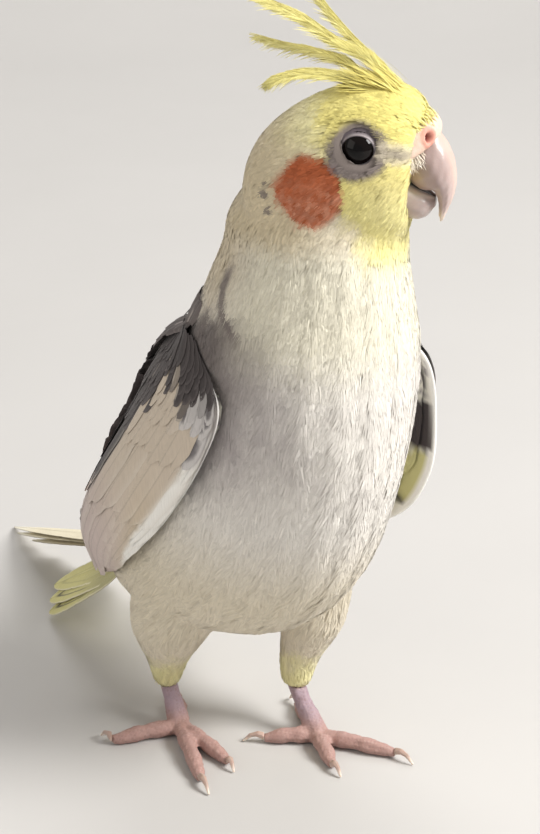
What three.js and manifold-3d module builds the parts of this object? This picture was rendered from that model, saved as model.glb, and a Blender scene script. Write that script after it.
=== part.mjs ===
// A life-size cockatiel that stands with its head turned to its left.
// Millimetres, +Z up. The bird faces -Y, and its left side is at +X.
import * as THREE from 'three';
import Module from 'manifold-3d';
import { mergeVertices } from 'three/addons/utils/BufferGeometryUtils.js';

const wasm = await Module();
wasm.setup();

// Driving dimensions. Places are measured from a point on the floor between the feet.
const GAP = 0.3; // clearance between neighbouring pieces
const ORIGIN_Y = 38.5; // middle of the bird's length, which the finished part is centred on
const ORIGIN_X = 2.4; // middle of its width
const HEAD_CENTRE = new THREE.Vector3(3, -35, 146);
const HEAD_TURN = 45; // degrees that the head is turned to the left
const EYE_RADIUS = 3.9;
const EYE_PLACE = { forward: 3.5, up: 1.5, out: 8.1 };
const NECK_CUT = 112; // height where the neck meets the trunk
const TAIL_CUT = 46; // distance behind the feet where the tail meets the trunk
const RECTRIX = { width: 9, thickness: 0.8 }; // a tail feather
const PRIMARY = { width: 8, thickness: 1.1 }; // a long flight feather
const PRIMARY_ROOT = [20, 20, 46]; // out, behind and up
const PRIMARY_BEND = [16.5, 40, 42];
const PRIMARY_TIPS = [[11.5, 54, 39.2], [9, 59.5, 36.4], [6.8, 65, 33.4]];
const SHANK_RADIUS = 2.1;
const SHANK_GIRTH = [[0, 1], [0.5, 0.86], [0.85, 1.1], [1, 1.2]]; // shares of its radius down to the foot
const TOE_RADIUS = 1.9;
const CLAW_RADIUS = 0.85;

const rad = THREE.MathUtils.degToRad;
const v3 = (x, y, z) => new THREE.Vector3(x, y, z);

const finish = (color, roughness) => new THREE.MeshStandardMaterial({ color, roughness, metalness: 0 });
const WHITE_COAT = finish(0xd9d3c8, 0.9);
const YELLOW_COAT = finish(0xe6e08e, 0.9);
const CREAM_WING = finish(0xcdbfae, 0.85);
const GREY_QUILL = finish(0x7d7672, 0.8);
const PALE_QUILL = finish(0xdad7b0, 0.8);
const BILL_HORN = finish(0xb6a09a, 0.45);
const CERE_SKIN = finish(0xcf8f86, 0.6);
const LEG_SKIN = finish(0xb48f8d, 0.7);
const CLAW_HORN = finish(0xc2b0a4, 0.45);
const EYE_GLOSS = finish(0x0c0808, 0.05);

// A smooth graph through pairs of station and value.
function graph(pairs) {
  const stations = pairs.map((pair) => pair[0]);
  const values = pairs.map((pair) => pair[1]);
  const cubic = new THREE.CubicInterpolant(stations, values, 1, new Float32Array(1));
  return (t) => cubic.evaluate(t)[0];
}

// A smooth rail through its points, read by a share t of its length.
const rail = (points) => new THREE.CatmullRomCurve3(points.map((p) => v3(...p)), false, 'catmullrom', 0.5);

// A closed skin of rings. place(t, angle) gives a point of the ring at share t of the way.
// Round ends close by themselves, and flat ends are capped at the middle of their ring.
function loft(around, along, place, round = false) {
  const geometry = new THREE.SphereGeometry(1, around, along);
  const spots = geometry.attributes.position;
  const middle = (t) => place(t, 0).add(place(t, Math.PI)).multiplyScalar(0.5);
  for (let row = 0; row <= along; row += 1) {
    const share = round ? (1 - Math.cos((Math.PI * row) / along)) / 2
      : THREE.MathUtils.clamp((row - 1) / (along - 2), 0, 1);
    for (let column = 0; column <= around; column += 1) {
      const end = row === 0 || row === along;
      const angle = (2 * Math.PI * (column % around)) / around;
      const spot = end ? middle(share) : place(share, angle);
      spots.setXYZ(row * (around + 1) + column, spot.x, spot.y, spot.z);
    }
  }
  return outward(bare(geometry));
}

// Only positions, with shared corners merged.
function bare(geometry) {
  geometry.deleteAttribute('normal');
  geometry.deleteAttribute('uv');
  const merged = mergeVertices(geometry, 1e-3);
  const corners = merged.index.array;
  const kept = [];
  for (let i = 0; i < corners.length; i += 3) {
    const [a, b, c] = [corners[i], corners[i + 1], corners[i + 2]];
    if (a !== b && b !== c && c !== a) kept.push(a, b, c);
  }
  merged.setIndex(kept);
  return merged;
}

// Turns every face round if the body is inside out.
function outward(geometry) {
  const spots = geometry.attributes.position;
  const corners = geometry.index.array;
  const corner = (i) => new THREE.Vector3().fromBufferAttribute(spots, corners[i]);
  let volume = 0;
  for (let i = 0; i < corners.length; i += 3) volume += corner(i).dot(corner(i + 1).cross(corner(i + 2)));
  if (volume < 0) {
    const turned = Array.from(corners);
    for (let i = 0; i < turned.length; i += 3) {
      [turned[i + 1], turned[i + 2]] = [turned[i + 2], turned[i + 1]];
    }
    geometry.setIndex(turned);
  }
  return geometry;
}

function solid(geometry) {
  const vertProperties = new Float32Array(geometry.attributes.position.array);
  const triVerts = new Uint32Array(geometry.index.array);
  return new wasm.Manifold(new wasm.Mesh({ numProp: 3, vertProperties, triVerts }));
}

function geometryOf(manifold) {
  const mesh = manifold.getMesh();
  const geometry = new THREE.BufferGeometry();
  geometry.setAttribute('position', new THREE.BufferAttribute(mesh.vertProperties, 3));
  geometry.setIndex(new THREE.BufferAttribute(mesh.triVerts, 1));
  return geometry;
}

// The same skin moved out along its normals.
function swollen(geometry, amount = GAP) {
  const fat = geometry.clone();
  fat.computeVertexNormals();
  const spots = fat.attributes.position;
  const normals = fat.attributes.normal;
  for (let i = 0; i < spots.count; i += 1) {
    spots.setXYZ(i, spots.getX(i) + amount * normals.getX(i), spots.getY(i) + amount * normals.getY(i),
      spots.getZ(i) + amount * normals.getZ(i));
  }
  fat.deleteAttribute('normal');
  return fat;
}

// The largest single body of a cut, without crumbs.
function largest(manifold) {
  const bodies = manifold.decompose();
  return bodies.reduce((best, body) => (body.volume() > best.volume() ? body : best));
}

// The first shape with room cut in it for each of the others.
function cutBy(geometry, ...others) {
  let body = solid(geometry);
  for (const other of others) body = body.subtract(solid(swollen(other)));
  return geometryOf(largest(body));
}

function joined(...pieces) {
  return geometryOf(pieces.map(solid).reduce((all, piece) => all.add(piece)));
}

function slab(size, centre) {
  const box = bare(new THREE.BoxGeometry(...size));
  box.translate(...centre);
  return box;
}

const group = new THREE.Group();
const pieces = {};
function part(name, geometry, material) {
  pieces[name] = geometry;
  const mesh = new THREE.Mesh(geometry, material);
  mesh.name = name;
  mesh.position.set(-ORIGIN_X, -ORIGIN_Y, 0);
  group.add(mesh);
  return geometry;
}

// Body sections from the top of the neck to the root of the tail: where each meets the back and the
// breast, as distance behind the feet and height, with its half width and its shift to the left.
const BODY = [
  { back: [-18, 143], front: [-44, 137], half: 12.5, left: 1.5 },
  { back: [-10.5, 133], front: [-45.5, 128], half: 16.5, left: 1.6 },
  { back: [-5.5, 122], front: [-47, 119], half: 18, left: 0.8 },
  { back: [0, 110.5], front: [-48.6, 105], half: 22, left: 0.4 },
  { back: [6, 98], front: [-48.6, 90], half: 23.2, left: 0.2 },
  { back: [13, 84], front: [-45.5, 74], half: 22.6, left: 0 },
  { back: [20, 71], front: [-39.5, 58.5], half: 22.8, left: 0 },
  { back: [27, 59], front: [-31, 45.5], half: 23, left: 0 },
  { back: [33, 50], front: [-17, 33.5], half: 22.5, left: 0 },
  { back: [38, 43.5], front: [4, 27], half: 20, left: 0 },
  { back: [42.5, 39], front: [25, 25.2], half: 15, left: 0 },
  { back: [50, 35], front: [49, 27.4], half: 9, left: 0 },
];

function body() {
  const last = BODY.length - 1;
  const read = (value) => graph(BODY.map((section, i) => [i / last, value(section)]));
  const backY = read((s) => s.back[0]);
  const backZ = read((s) => s.back[1]);
  const frontY = read((s) => s.front[0]);
  const frontZ = read((s) => s.front[1]);
  const half = read((s) => s.half);
  const left = read((s) => s.left);
  return loft(20, 20, (t, angle) => {
    const share = (1 + Math.cos(angle)) / 2;
    return v3(
      left(t) + half(t) * Math.sin(angle),
      THREE.MathUtils.lerp(frontY(t), backY(t), share),
      THREE.MathUtils.lerp(frontZ(t), backZ(t), share),
    );
  });
}

// The head in its own directions: forward, out to the right and up from its centre.
function headPoint(forward, right, up) {
  const turn = rad(HEAD_TURN);
  return v3(
    HEAD_CENTRE.x + forward * Math.sin(turn) - right * Math.cos(turn),
    HEAD_CENTRE.y - forward * Math.cos(turn) - right * Math.sin(turn),
    HEAD_CENTRE.z + up,
  );
}

// A round-ended or blunt shape between an upper and a lower rail of the head's middle plane.
function headShape(upper, lower, halfWidth, around, along, round = true) {
  const top = rail(upper.map(([f, u]) => [f, 0, u]));
  const bottom = rail(lower.map(([f, u]) => [f, 0, u]));
  const half = graph(halfWidth);
  return loft(around, along, (t, angle) => {
    const close = round ? Math.sqrt(Math.max(0, 1 - (2 * t - 1) ** 2)) : 1;
    const a = top.getPoint(t);
    const b = bottom.getPoint(t);
    const spot = b.lerp(a, (1 + Math.cos(angle)) / 2);
    return headPoint(spot.x, half(t) * close * Math.sin(angle), spot.z);
  }, round);
}

const SKULL_TOP = [[-20.4, -8], [-18.8, -1.5], [-14.5, 3.9], [-8.5, 8.3], [-1, 11.6], [6, 12.9], [12, 11.4],
  [15.2, 7.4], [13.6, -1.5]];
const SKULL_BASE = [[-20.4, -8], [-19.2, -14.5], [-14.5, -19], [-8, -21.3], [-0.5, -21.8], [7, -20.6],
  [12, -17], [12, -10], [13.6, -1.5]];
const SKULL_HALF = [[0, 10], [0.15, 12.4], [0.35, 13.2], [0.55, 12.9], [0.75, 11], [0.9, 8.6], [1, 7]];
const skull = headShape(SKULL_TOP, SKULL_BASE, SKULL_HALF, 20, 18);

const CULMEN = [[13.5, 6.2], [17.4, 4.4], [19.9, -0.8], [20.9, -5.4], [20.6, -9], [19.6, -11.8], [18, -14.6]];
const TOMIUM = [[10.2, -4.6], [12.3, -6.9], [14.6, -8.2], [16.4, -8.1], [17.3, -9.4], [17.7, -11.6],
  [17.7, -14.6]];
const BILL_HALF = [[0, 5.8], [0.18, 5.6], [0.4, 4.8], [0.6, 3.6], [0.8, 2.2], [0.92, 1.3], [1, 0.5]];
const billUpper = headShape(CULMEN, TOMIUM, BILL_HALF, 12, 13, false);

const GONYS_TOP = [[9.5, -6.2], [12.6, -8], [15, -9], [16.9, -9.8]];
const GONYS = [[10, -12.6], [12.6, -14.1], [15.2, -13.7], [17, -11.6]];
const GONYS_HALF = [[0, 4.9], [0.35, 4.6], [0.7, 3.6], [1, 1.6]];
const billLower = headShape(GONYS_TOP, GONYS, GONYS_HALF, 12, 7, false);

// The cere is a fleshy saddle over the root of the bill, thickest beside each nostril.
function cereShape() {
  const reach = 7.6; // out to each side
  return loft(10, 12, (t, angle) => {
    const side = 2 * t - 1;
    const close = Math.sqrt(Math.max(0, 1 - side ** 2));
    const droop = side ** 2;
    const forward = 14.6 - 3.4 * droop + 2.8 * close * Math.cos(angle);
    const up = 4 - 4.6 * droop + 3.4 * close * Math.sin(angle);
    return headPoint(forward, reach * side, up);
  }, true);
}

function eyeBall(side, radius) {
  const ball = bare(new THREE.SphereGeometry(radius, 14, 9));
  const at = headPoint(EYE_PLACE.forward, -side * EYE_PLACE.out, EYE_PLACE.up);
  ball.translate(at.x, at.y, at.z);
  return outward(ball);
}

// Crest plumes: base to tip in the head's middle plane, half width, and how far each stands to the right.
const PLUMES = {
  crest_long: {
    path: [[8.8, 10], [5, 15.4], [-3, 20], [-8.8, 23.6], [-16.5, 26.9], [-25, 31]],
    half: 2.3,
    right: 0.6,
  },
  crest_front: {
    path: [[10.4, 10], [7.4, 14.8], [1, 19.8], [-3.6, 24], [-7.2, 28.4], [-10, 33.6]],
    half: 1.4,
    right: -2.4,
  },
  crest_low: {
    path: [[8, 9.8], [3, 12.6], [-2.5, 13.8], [-8, 13.9], [-12.8, 12.8], [-16, 11]],
    half: 1.8,
    right: 3.2,
  },
  crest_wisp: {
    path: [[5, 10.4], [0, 14.6], [-6.5, 17], [-13, 18.2], [-19.5, 19.6]],
    half: 1.2,
    right: -2,
  },
};

function plumeBlade({ path, half, right }) {
  const line = rail(path.map(([f, u]) => [f, 0, u]));
  const width = graph([[0, 0.8], [0.25, 1], [0.6, 0.75], [0.9, 0.42], [1, 0.2]]);
  const depth = graph([[0, 1.6], [0.3, 0.75], [0.7, 0.42], [1, 0.3]]);
  return loft(6, 9, (t, angle) => {
    const spot = line.getPoint(t);
    const way = line.getTangent(t);
    const rise = half * width(t) * Math.cos(angle);
    const out = right * (1 - 0.35 * t) + depth(t) * Math.sin(angle);
    return headPoint(spot.x - way.z * rise, out, spot.z + way.x * rise);
  });
}

// A folded wing hangs outside the flank. Four rails run down it from the shoulder to the tip: the
// leading edge, the middle, the rear bulge and the trailing edge. Each point is out, behind, up.
const WING = {
  edge: [[22.4, -22, 101], [24.8, -31, 94], [25, -24, 80],
    [25, -9, 62], [24.4, 8, 47], [21, 21, 37.5]],
  middle: [[22, -14, 103.5], [26.6, -17.5, 94.5], [28, -7, 80],
    [28.4, 8, 62.5], [26.6, 21, 46.5], [21.6, 27, 35.5]],
  bulge: [[18.4, -6, 103], [22.2, -3, 95], [24.2, 6.5, 80],
    [25.4, 20, 62.5], [24.2, 30, 48], [20.6, 32, 36.5]],
  trail: [[12.6, 1.5, 102.5], [14, 6.5, 96], [15.4, 15.5, 81.5],
    [16, 28, 64], [16.4, 37.5, 50], [17.8, 36.8, 40]],
};
// The left wing's leading edge is held off the flank.
const WING_HELD_OUT = {
  ...WING,
  edge: [[23, -22, 101], [26.4, -30.5, 95], [32.6, -25.5, 80],
    [34.2, -21.5, 64], [31.5, -12, 51], [25, 15, 38]],
  middle: [[22.4, -14, 103.5], [27.8, -17, 95], [31.5, -8, 80],
    [32, 1, 63], [29.5, 13, 47.5], [23.5, 25, 35.5]],
};
const WING_THICK = 2.0; // at its thickest, near the shoulder
const WING_THINNING = [[0, 0.5], [0.12, 1], [0.6, 0.9], [1, 0.45]];
const OUTER_SWELL = 0.12; // share of the thickness that stands out from the rails

function wingShape(side, wing) {
  const sided = (points) => points.map(([out, behind, up]) => [side * out, behind, up]);
  const rails = Object.values(wing).map((points) => rail(sided(points)));
  const across = (t) => rail(rails.map((line) => line.getPoint(t).toArray()));
  const thickness = graph(WING_THINNING);
  return loft(16, 14, (t, angle) => {
    const line = across(t);
    const share = (1 - Math.cos(angle)) / 2;
    const spot = line.getPoint(share);
    const before = across(Math.max(0, t - 0.01)).getPoint(share);
    const next = across(Math.min(1, t + 0.01)).getPoint(share).sub(before);
    const face = line.getTangent(share).cross(next).normalize().multiplyScalar(side);
    const outer = Math.sin(angle) > 0 ? OUTER_SWELL : 1;
    const taper = Math.abs(Math.sin(angle)) ** 0.6;
    const reach = Math.sign(Math.sin(angle)) * outer * WING_THICK * thickness(t) * taper;
    return spot.addScaledVector(face, reach);
  });
}

// A flat feather from root to tip, lying nearly level. Its outline is given as shares of its width.
const VANE_OUTLINE = [[0, 0.5], [0.3, 0.95], [0.7, 1], [0.9, 0.72], [1, 0.12]];

function vane(points, width, thickness) {
  const line = rail(points);
  const outline = graph(VANE_OUTLINE);
  return loft(4, 7, (t, angle) => {
    const spot = line.getPoint(t);
    const way = line.getTangent(t);
    const side = v3(way.y, -way.x, 0).normalize();
    const up = side.clone().cross(way).normalize();
    if (up.z < 0) up.negate();
    const at = spot.addScaledVector(side, (width / 2) * outline(t) * Math.sin(angle));
    at.addScaledVector(up, (thickness / 2) * Math.cos(angle));
    at.z = Math.max(at.z, 0);
    return at;
  });
}

// Each root lies beside and below the last.
const TAIL_ROOT = { behind: 38, up: 33.2, apart: 0.9, below: 0.3 };
const TAIL_SIDE = { out: 5, drop: 1.5 }; // roots of the outer feathers, beside and below the middle pair
// Tips of the tail feathers, as left, behind and up. The long middle pair lies on the floor at its tip.
const TAIL_MIDDLE = [[5.2, 128.5, 0.3], [3, 122, 1.6], [6.4, 112, 4.4], [0.6, 108, 5.6]];
const TAIL_RIGHT = [[-4.6, 83, 8.6], [-8.6, 80, 4.6], [-11.6, 74.5, 0.4]];
const TAIL_LEFT = [[9.4, 101, 5.6], [12, 90, 6.6], [14, 79, 8.6]];

function tailFan(tips, rootX, drop) {
  const feathers = tips.map(([x, y, z], i) => {
    const rootOut = rootX + Math.sign(rootX) * TAIL_ROOT.apart * i;
    const root = [rootOut, TAIL_ROOT.behind, TAIL_ROOT.up - drop - TAIL_ROOT.below * i];
    const half = [(root[0] + x) / 2, (root[1] + y) / 2, (root[2] + z) / 2];
    return vane([root, half, [x, y, z]], RECTRIX.width, RECTRIX.thickness);
  });
  return joined(...feathers);
}

// Legs. Each toe runs from the foot to its tip on the floor, and its claw goes on from there.
const LEGS = {
  right: {
    thigh: [[-13, 4, 44], [-14.4, 7.6, 30], [-13.2, 11.6, 19], [-12.4, 13.6, 11.2]],
    girth: [[0, 10.5], [0.35, 9.2], [0.58, 5.9], [0.75, 4.3], [0.9, 3.4], [1, 2.9]],
    shank: [[-12.3, 13.8, 12.4], [-12.1, 12.2, 8], [-12.2, 8.8, 2.4]],
    toes: {
      inner: [[-10.7, -10.3], [-11.3, -13.8]],
      outer: [[-19.6, -13.4], [-20.8, -19]],
      back_outer: [[-28, 11.2], [-28.4, 16]],
      back_inner: [[-5.8, 20], [-5.2, 24]],
    },
    foot: [-12.4, 7.8],
  },
  left: {
    thigh: [[12, -9, 44], [13.4, -7, 30], [12.4, -3.6, 19], [11.4, -3.2, 11.2]],
    girth: [[0, 9.5], [0.35, 7.4], [0.58, 5.1], [0.75, 4.2], [0.9, 3.6], [1, 3.1]],
    shank: [[11.3, -3.2, 12.4], [11.6, -6, 8], [12, -11.4, 2.4]],
    toes: {
      inner: [[7.9, -23.9], [7.5, -28]],
      outer: [[22.6, -27], [24, -32]],
      back_outer: [[16.5, 3.5], [17.2, 8]],
      back_inner: [[1.5, -6], [-2.4, -3.2]],
    },
    foot: [11.6, -12],
  },
};

function roundLimb(points, radii, around = 10, along = 6) {
  const line = rail(points);
  const radius = graph(radii);
  return loft(around, along, (t, angle) => {
    const way = line.getTangent(t);
    const side = v3(1, 0, 0).addScaledVector(way, -way.x).normalize();
    const front = way.clone().cross(side);
    return line.getPoint(t)
      .addScaledVector(side, radius(t) * Math.sin(angle))
      .addScaledVector(front, radius(t) * Math.cos(angle));
  });
}

// A toe lies on a small flat, and swells at each pad.
function toeShape(foot, tip) {
  const start = v3(foot[0], foot[1], 1.9);
  const end = v3(tip[0], tip[1], 1.35);
  return loft(8, 8, (t, angle) => {
    const spot = start.clone().lerp(end, t);
    spot.z += 0.4 * Math.sin(Math.PI * t) ** 2;
    const way = end.clone().sub(start).setZ(0).normalize();
    const side = v3(way.y, -way.x, 0);
    const pad = TOE_RADIUS * (1 - 0.22 * t) * (1 + 0.09 * Math.cos(6 * Math.PI * t));
    spot.addScaledVector(side, pad * Math.sin(angle));
    spot.z = Math.max(0, spot.z + pad * Math.cos(angle));
    return spot;
  });
}

const CLAW_HEIGHTS = [1.7, 2.3, 0.4]; // at the toe, at the top of its arch and at its point

function clawShape(tip, end) {
  const arch = [(tip[0] + end[0]) / 2, (tip[1] + end[1]) / 2];
  const line = rail([tip, arch, end].map(([x, y], i) => [x, y, CLAW_HEIGHTS[i]]));
  return loft(5, 5, (t, angle) => {
    const way = line.getTangent(t);
    const side = v3(way.y, -way.x, 0).normalize();
    const up = side.clone().cross(way).normalize();
    const radius = CLAW_RADIUS * (1 - 0.78 * t);
    const spot = line.getPoint(t)
      .addScaledVector(side, radius * Math.sin(angle))
      .addScaledVector(up, radius * Math.cos(angle));
    spot.z = Math.max(0, spot.z);
    return spot;
  });
}

// Trunk, neck and head.
const whole = body();
const BIG = 400; // larger than the whole bird
const below = slab([BIG, BIG, BIG], [0, 0, NECK_CUT - BIG / 2]);
const above = slab([BIG, BIG, BIG], [0, 0, NECK_CUT + GAP + BIG / 2]);
const ahead = slab([BIG, BIG, BIG], [0, TAIL_CUT - BIG / 2, 0]);
const trunkSolid = solid(whole).intersect(solid(below)).intersect(solid(ahead));
const trunk = part('trunk', geometryOf(trunkSolid), WHITE_COAT);
const neckSolid = solid(whole).intersect(solid(above)).subtract(solid(swollen(skull)));
part('neck', geometryOf(largest(neckSolid)), WHITE_COAT);

const sockets = [-1, 1].map((side) => eyeBall(side, EYE_RADIUS));
const cere = cereShape();
const head = part('head', cutBy(skull, ...sockets), YELLOW_COAT);
part('eye_right', sockets[0], EYE_GLOSS);
part('eye_left', sockets[1], EYE_GLOSS);
part('bill_upper', cutBy(billUpper, skull), BILL_HORN);
part('bill_lower', cutBy(billLower, skull, billUpper), BILL_HORN);
part('cere', cutBy(cere, skull, billUpper), CERE_SKIN);

let crestSoFar = [head];
for (const [name, plume] of Object.entries(PLUMES)) {
  const blade = plumeBlade(plume);
  part(name, cutBy(blade, ...crestSoFar), YELLOW_COAT);
  crestSoFar = [...crestSoFar, blade];
}

// Wings, with the long flight feathers that cross over the rump.
for (const [name, side, rails] of [['right', -1, WING], ['left', 1, WING_HELD_OUT]]) {
  const wing = wingShape(side, rails);
  const cut = part(`wing_${name}`, cutBy(wing, whole), CREAM_WING);
  const quills = PRIMARY_TIPS.map(([out, behind, up], i) => {
    const root = [side * PRIMARY_ROOT[0], PRIMARY_ROOT[1], PRIMARY_ROOT[2] - 0.6 * i];
    const bend = [side * (PRIMARY_BEND[0] - 0.8 * i), PRIMARY_BEND[1], PRIMARY_BEND[2] - 0.8 * i];
    return vane([root, bend, [side * out, behind, up]], PRIMARY.width, PRIMARY.thickness);
  });
  part(`primaries_${name}`, cutBy(joined(...quills), whole, cut), GREY_QUILL);
}

// Tail.
const tailMiddle = cutBy(tailFan(TAIL_MIDDLE, 0.01, 0), trunk);
part('tail_middle', tailMiddle, PALE_QUILL);
part('tail_right', cutBy(tailFan(TAIL_RIGHT, -TAIL_SIDE.out, TAIL_SIDE.drop), trunk, tailMiddle), PALE_QUILL);
part('tail_left', cutBy(tailFan(TAIL_LEFT, TAIL_SIDE.out, TAIL_SIDE.drop), trunk, tailMiddle), PALE_QUILL);

// Legs, toes and claws.
for (const [name, leg] of Object.entries(LEGS)) {
  const thigh = roundLimb(leg.thigh, leg.girth, 14, 10);
  part(`thigh_${name}`, cutBy(thigh, whole), WHITE_COAT);
  const shank = roundLimb(leg.shank, SHANK_GIRTH.map(([t, share]) => [t, share * SHANK_RADIUS]));
  part(`shank_${name}`, cutBy(shank, thigh), LEG_SKIN);
  const before = [shank];
  for (const [toeName, [tip, end]] of Object.entries(leg.toes)) {
    const toe = toeShape(leg.foot, tip);
    part(`toe_${name}_${toeName}`, cutBy(toe, ...before), LEG_SKIN);
    part(`claw_${name}_${toeName}`, cutBy(clawShape(tip, end), toe), CLAW_HORN);
    before.push(toe);
  }
}

export default group;
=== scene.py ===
import math

import bpy
import numpy as np
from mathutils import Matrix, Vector
from mathutils.bvhtree import BVHTree


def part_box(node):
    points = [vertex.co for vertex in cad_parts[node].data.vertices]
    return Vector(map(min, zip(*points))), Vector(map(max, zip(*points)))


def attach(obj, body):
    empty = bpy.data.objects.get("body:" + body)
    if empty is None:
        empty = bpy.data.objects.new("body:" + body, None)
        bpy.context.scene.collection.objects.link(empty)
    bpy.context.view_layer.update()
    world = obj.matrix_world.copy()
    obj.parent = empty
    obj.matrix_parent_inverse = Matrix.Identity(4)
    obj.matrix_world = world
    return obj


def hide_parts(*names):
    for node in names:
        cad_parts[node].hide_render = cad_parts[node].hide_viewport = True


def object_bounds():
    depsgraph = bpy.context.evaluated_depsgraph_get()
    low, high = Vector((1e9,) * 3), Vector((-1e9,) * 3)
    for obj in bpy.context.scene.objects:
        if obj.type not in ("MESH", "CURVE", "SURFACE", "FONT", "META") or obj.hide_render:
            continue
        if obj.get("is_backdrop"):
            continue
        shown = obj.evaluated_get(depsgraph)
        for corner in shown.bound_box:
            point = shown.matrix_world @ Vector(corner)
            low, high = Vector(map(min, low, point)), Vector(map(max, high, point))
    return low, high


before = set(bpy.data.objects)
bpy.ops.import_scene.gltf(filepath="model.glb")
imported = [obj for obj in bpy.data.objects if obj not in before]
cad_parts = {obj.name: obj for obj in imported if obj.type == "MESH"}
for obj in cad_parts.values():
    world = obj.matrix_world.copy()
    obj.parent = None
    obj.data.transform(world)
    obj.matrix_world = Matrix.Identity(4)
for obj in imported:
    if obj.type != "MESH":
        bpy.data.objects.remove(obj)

cad_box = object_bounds()

# The studio: a pale seamless paper sweep, a large soft window light from the right of the camera,
# a weak fill from the left and a camera tilted down at the bird.
CAMERA_PLACE = (-0.2456, -0.4384, 0.2666)
CAMERA_YAW = math.radians(32)
CAMERA_PITCH = math.radians(22)
CAMERA_LENS = 101.4
PAPER_GREY = (0.56, 0.55, 0.54)


def node_material(name):
    """An empty material with its tree, its shader and a shorthand for adding nodes."""
    material = bpy.data.materials.new(name)
    material.use_nodes = True
    tree = material.node_tree
    shader = tree.nodes["Principled BSDF"]

    def add(kind, **values):
        node = tree.nodes.new(kind)
        for key, value in values.items():
            if hasattr(node, key):
                setattr(node, key, value)
            else:
                node.inputs[key.replace("_", " ")].default_value = value
        return node

    return material, tree, shader, add


def studio():
    sweep = bpy.data.meshes.new("paper_sweep")
    half, depth, rise, bend = 1.6, 1.1, 1.8, 0.5
    profile = [(-1.6, 0.0), (depth - bend, 0.0)]
    profile += [(depth - bend + bend * math.sin(a), bend - bend * math.cos(a))
                for a in np.linspace(0.1, math.pi / 2, 12)]
    profile += [(depth, rise)]
    turn = np.array([[math.cos(CAMERA_YAW), -math.sin(CAMERA_YAW)], [math.sin(CAMERA_YAW), math.cos(CAMERA_YAW)]])
    spots = []
    for away, up in profile:
        for side in (-half, half):
            x, y = np.array([side, away]) @ turn
            spots.append((x, y, up))
    faces = [(2 * i, 2 * i + 1, 2 * i + 3, 2 * i + 2) for i in range(len(profile) - 1)]
    sweep.from_pydata(spots, [], faces)
    sweep.polygons.foreach_set("use_smooth", [True] * len(faces))
    floor = bpy.data.objects.new("paper_sweep", sweep)
    bpy.context.collection.objects.link(floor)
    material, tree, shader, add = node_material("studio_paper")
    shader.inputs["Roughness"].default_value = 0.9
    grain = add("ShaderNodeTexNoise", Scale=60.0, Detail=3.0)
    tone = add("ShaderNodeValToRGB")
    tone.color_ramp.elements[0].color = (*[c * 0.97 for c in PAPER_GREY], 1)
    tone.color_ramp.elements[1].color = (*[c * 1.03 for c in PAPER_GREY], 1)
    tree.links.new(grain.outputs["Fac"], tone.inputs["Fac"])
    tree.links.new(tone.outputs["Color"], shader.inputs["Base Color"])
    sweep.materials.append(material)
    floor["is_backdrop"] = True

    middle = Vector((0, -0.03, 0.09))

    def soft_light(name, yaw, pitch, distance, size, power, colour):
        data = bpy.data.lights.new(name, "AREA")
        data.size = size
        data.energy = power
        data.color = colour
        lamp = bpy.data.objects.new(name, data)
        yaw, pitch = math.radians(yaw), math.radians(pitch)
        lamp.location = middle + distance * Vector(
            (math.sin(yaw) * math.cos(pitch), -math.cos(yaw) * math.cos(pitch), math.sin(pitch)))
        lamp.rotation_euler = (middle - lamp.location).to_track_quat("-Z", "Y").to_euler()
        bpy.context.collection.objects.link(lamp)

    soft_light("window", 38, 38, 1.0, 0.42, 14.0, (1.0, 0.98, 0.95))
    soft_light("fill", -95, 25, 1.2, 0.9, 2.7, (1.0, 0.95, 0.88))
    soft_light("back_rim", 150, 45, 1.2, 0.6, 5.0, (1.0, 0.99, 0.97))
    world = bpy.data.worlds.new("studio_air")
    world.use_nodes = True
    world.node_tree.nodes["Background"].inputs["Color"].default_value = (0.96, 0.93, 0.89, 1)
    world.node_tree.nodes["Background"].inputs["Strength"].default_value = 0.42
    bpy.context.scene.world = world
    bpy.context.scene.view_settings.view_transform = "Standard"

    lens = bpy.data.cameras.new("camera")
    lens.lens = CAMERA_LENS
    lens.sensor_width = 36
    lens.clip_start = 0.01
    camera = bpy.data.objects.new("camera", lens)
    camera.location = CAMERA_PLACE
    camera.rotation_euler = (math.pi / 2 - CAMERA_PITCH, 0, -CAMERA_YAW)
    bpy.context.collection.objects.link(camera)
    bpy.context.scene.camera = camera


studio()

# The body under the coat: one skin over head, neck, trunk and thighs, with no seam between them. It
# is made from the frame's solids, grown until they merge, and pared back to lie under the feathers.
MM = 0.001
FLESH = ("head", "neck", "trunk", "thigh_left", "thigh_right")
MERGE_SWELL = 0.45
SKIN_VOXEL = 0.8
SKIN_DEPTH = 0.7
chance = np.random.default_rng(7)


def unit(vectors):
    return vectors / np.maximum(np.linalg.norm(vectors, axis=-1, keepdims=True), 1e-9)


def solid_of(nodes, swell):
    """The nodes' solids in one mesh, each moved out along its normals by swell millimetres."""
    import bmesh
    whole = bmesh.new()
    for node in nodes:
        part = bmesh.new()
        part.from_mesh(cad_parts[node].data)
        bmesh.ops.remove_doubles(part, verts=part.verts, dist=1e-6)
        bmesh.ops.recalc_face_normals(part, faces=part.faces)
        part.normal_update()
        for vert, normal in [(v, v.normal.copy()) for v in part.verts]:
            vert.co += normal * swell * MM
        moved = bpy.data.meshes.new("moved")
        part.to_mesh(moved)
        whole.from_mesh(moved)
        bpy.data.meshes.remove(moved)
        part.free()
    mesh = bpy.data.meshes.new("whole")
    whole.to_mesh(mesh)
    whole.free()
    return mesh


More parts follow.
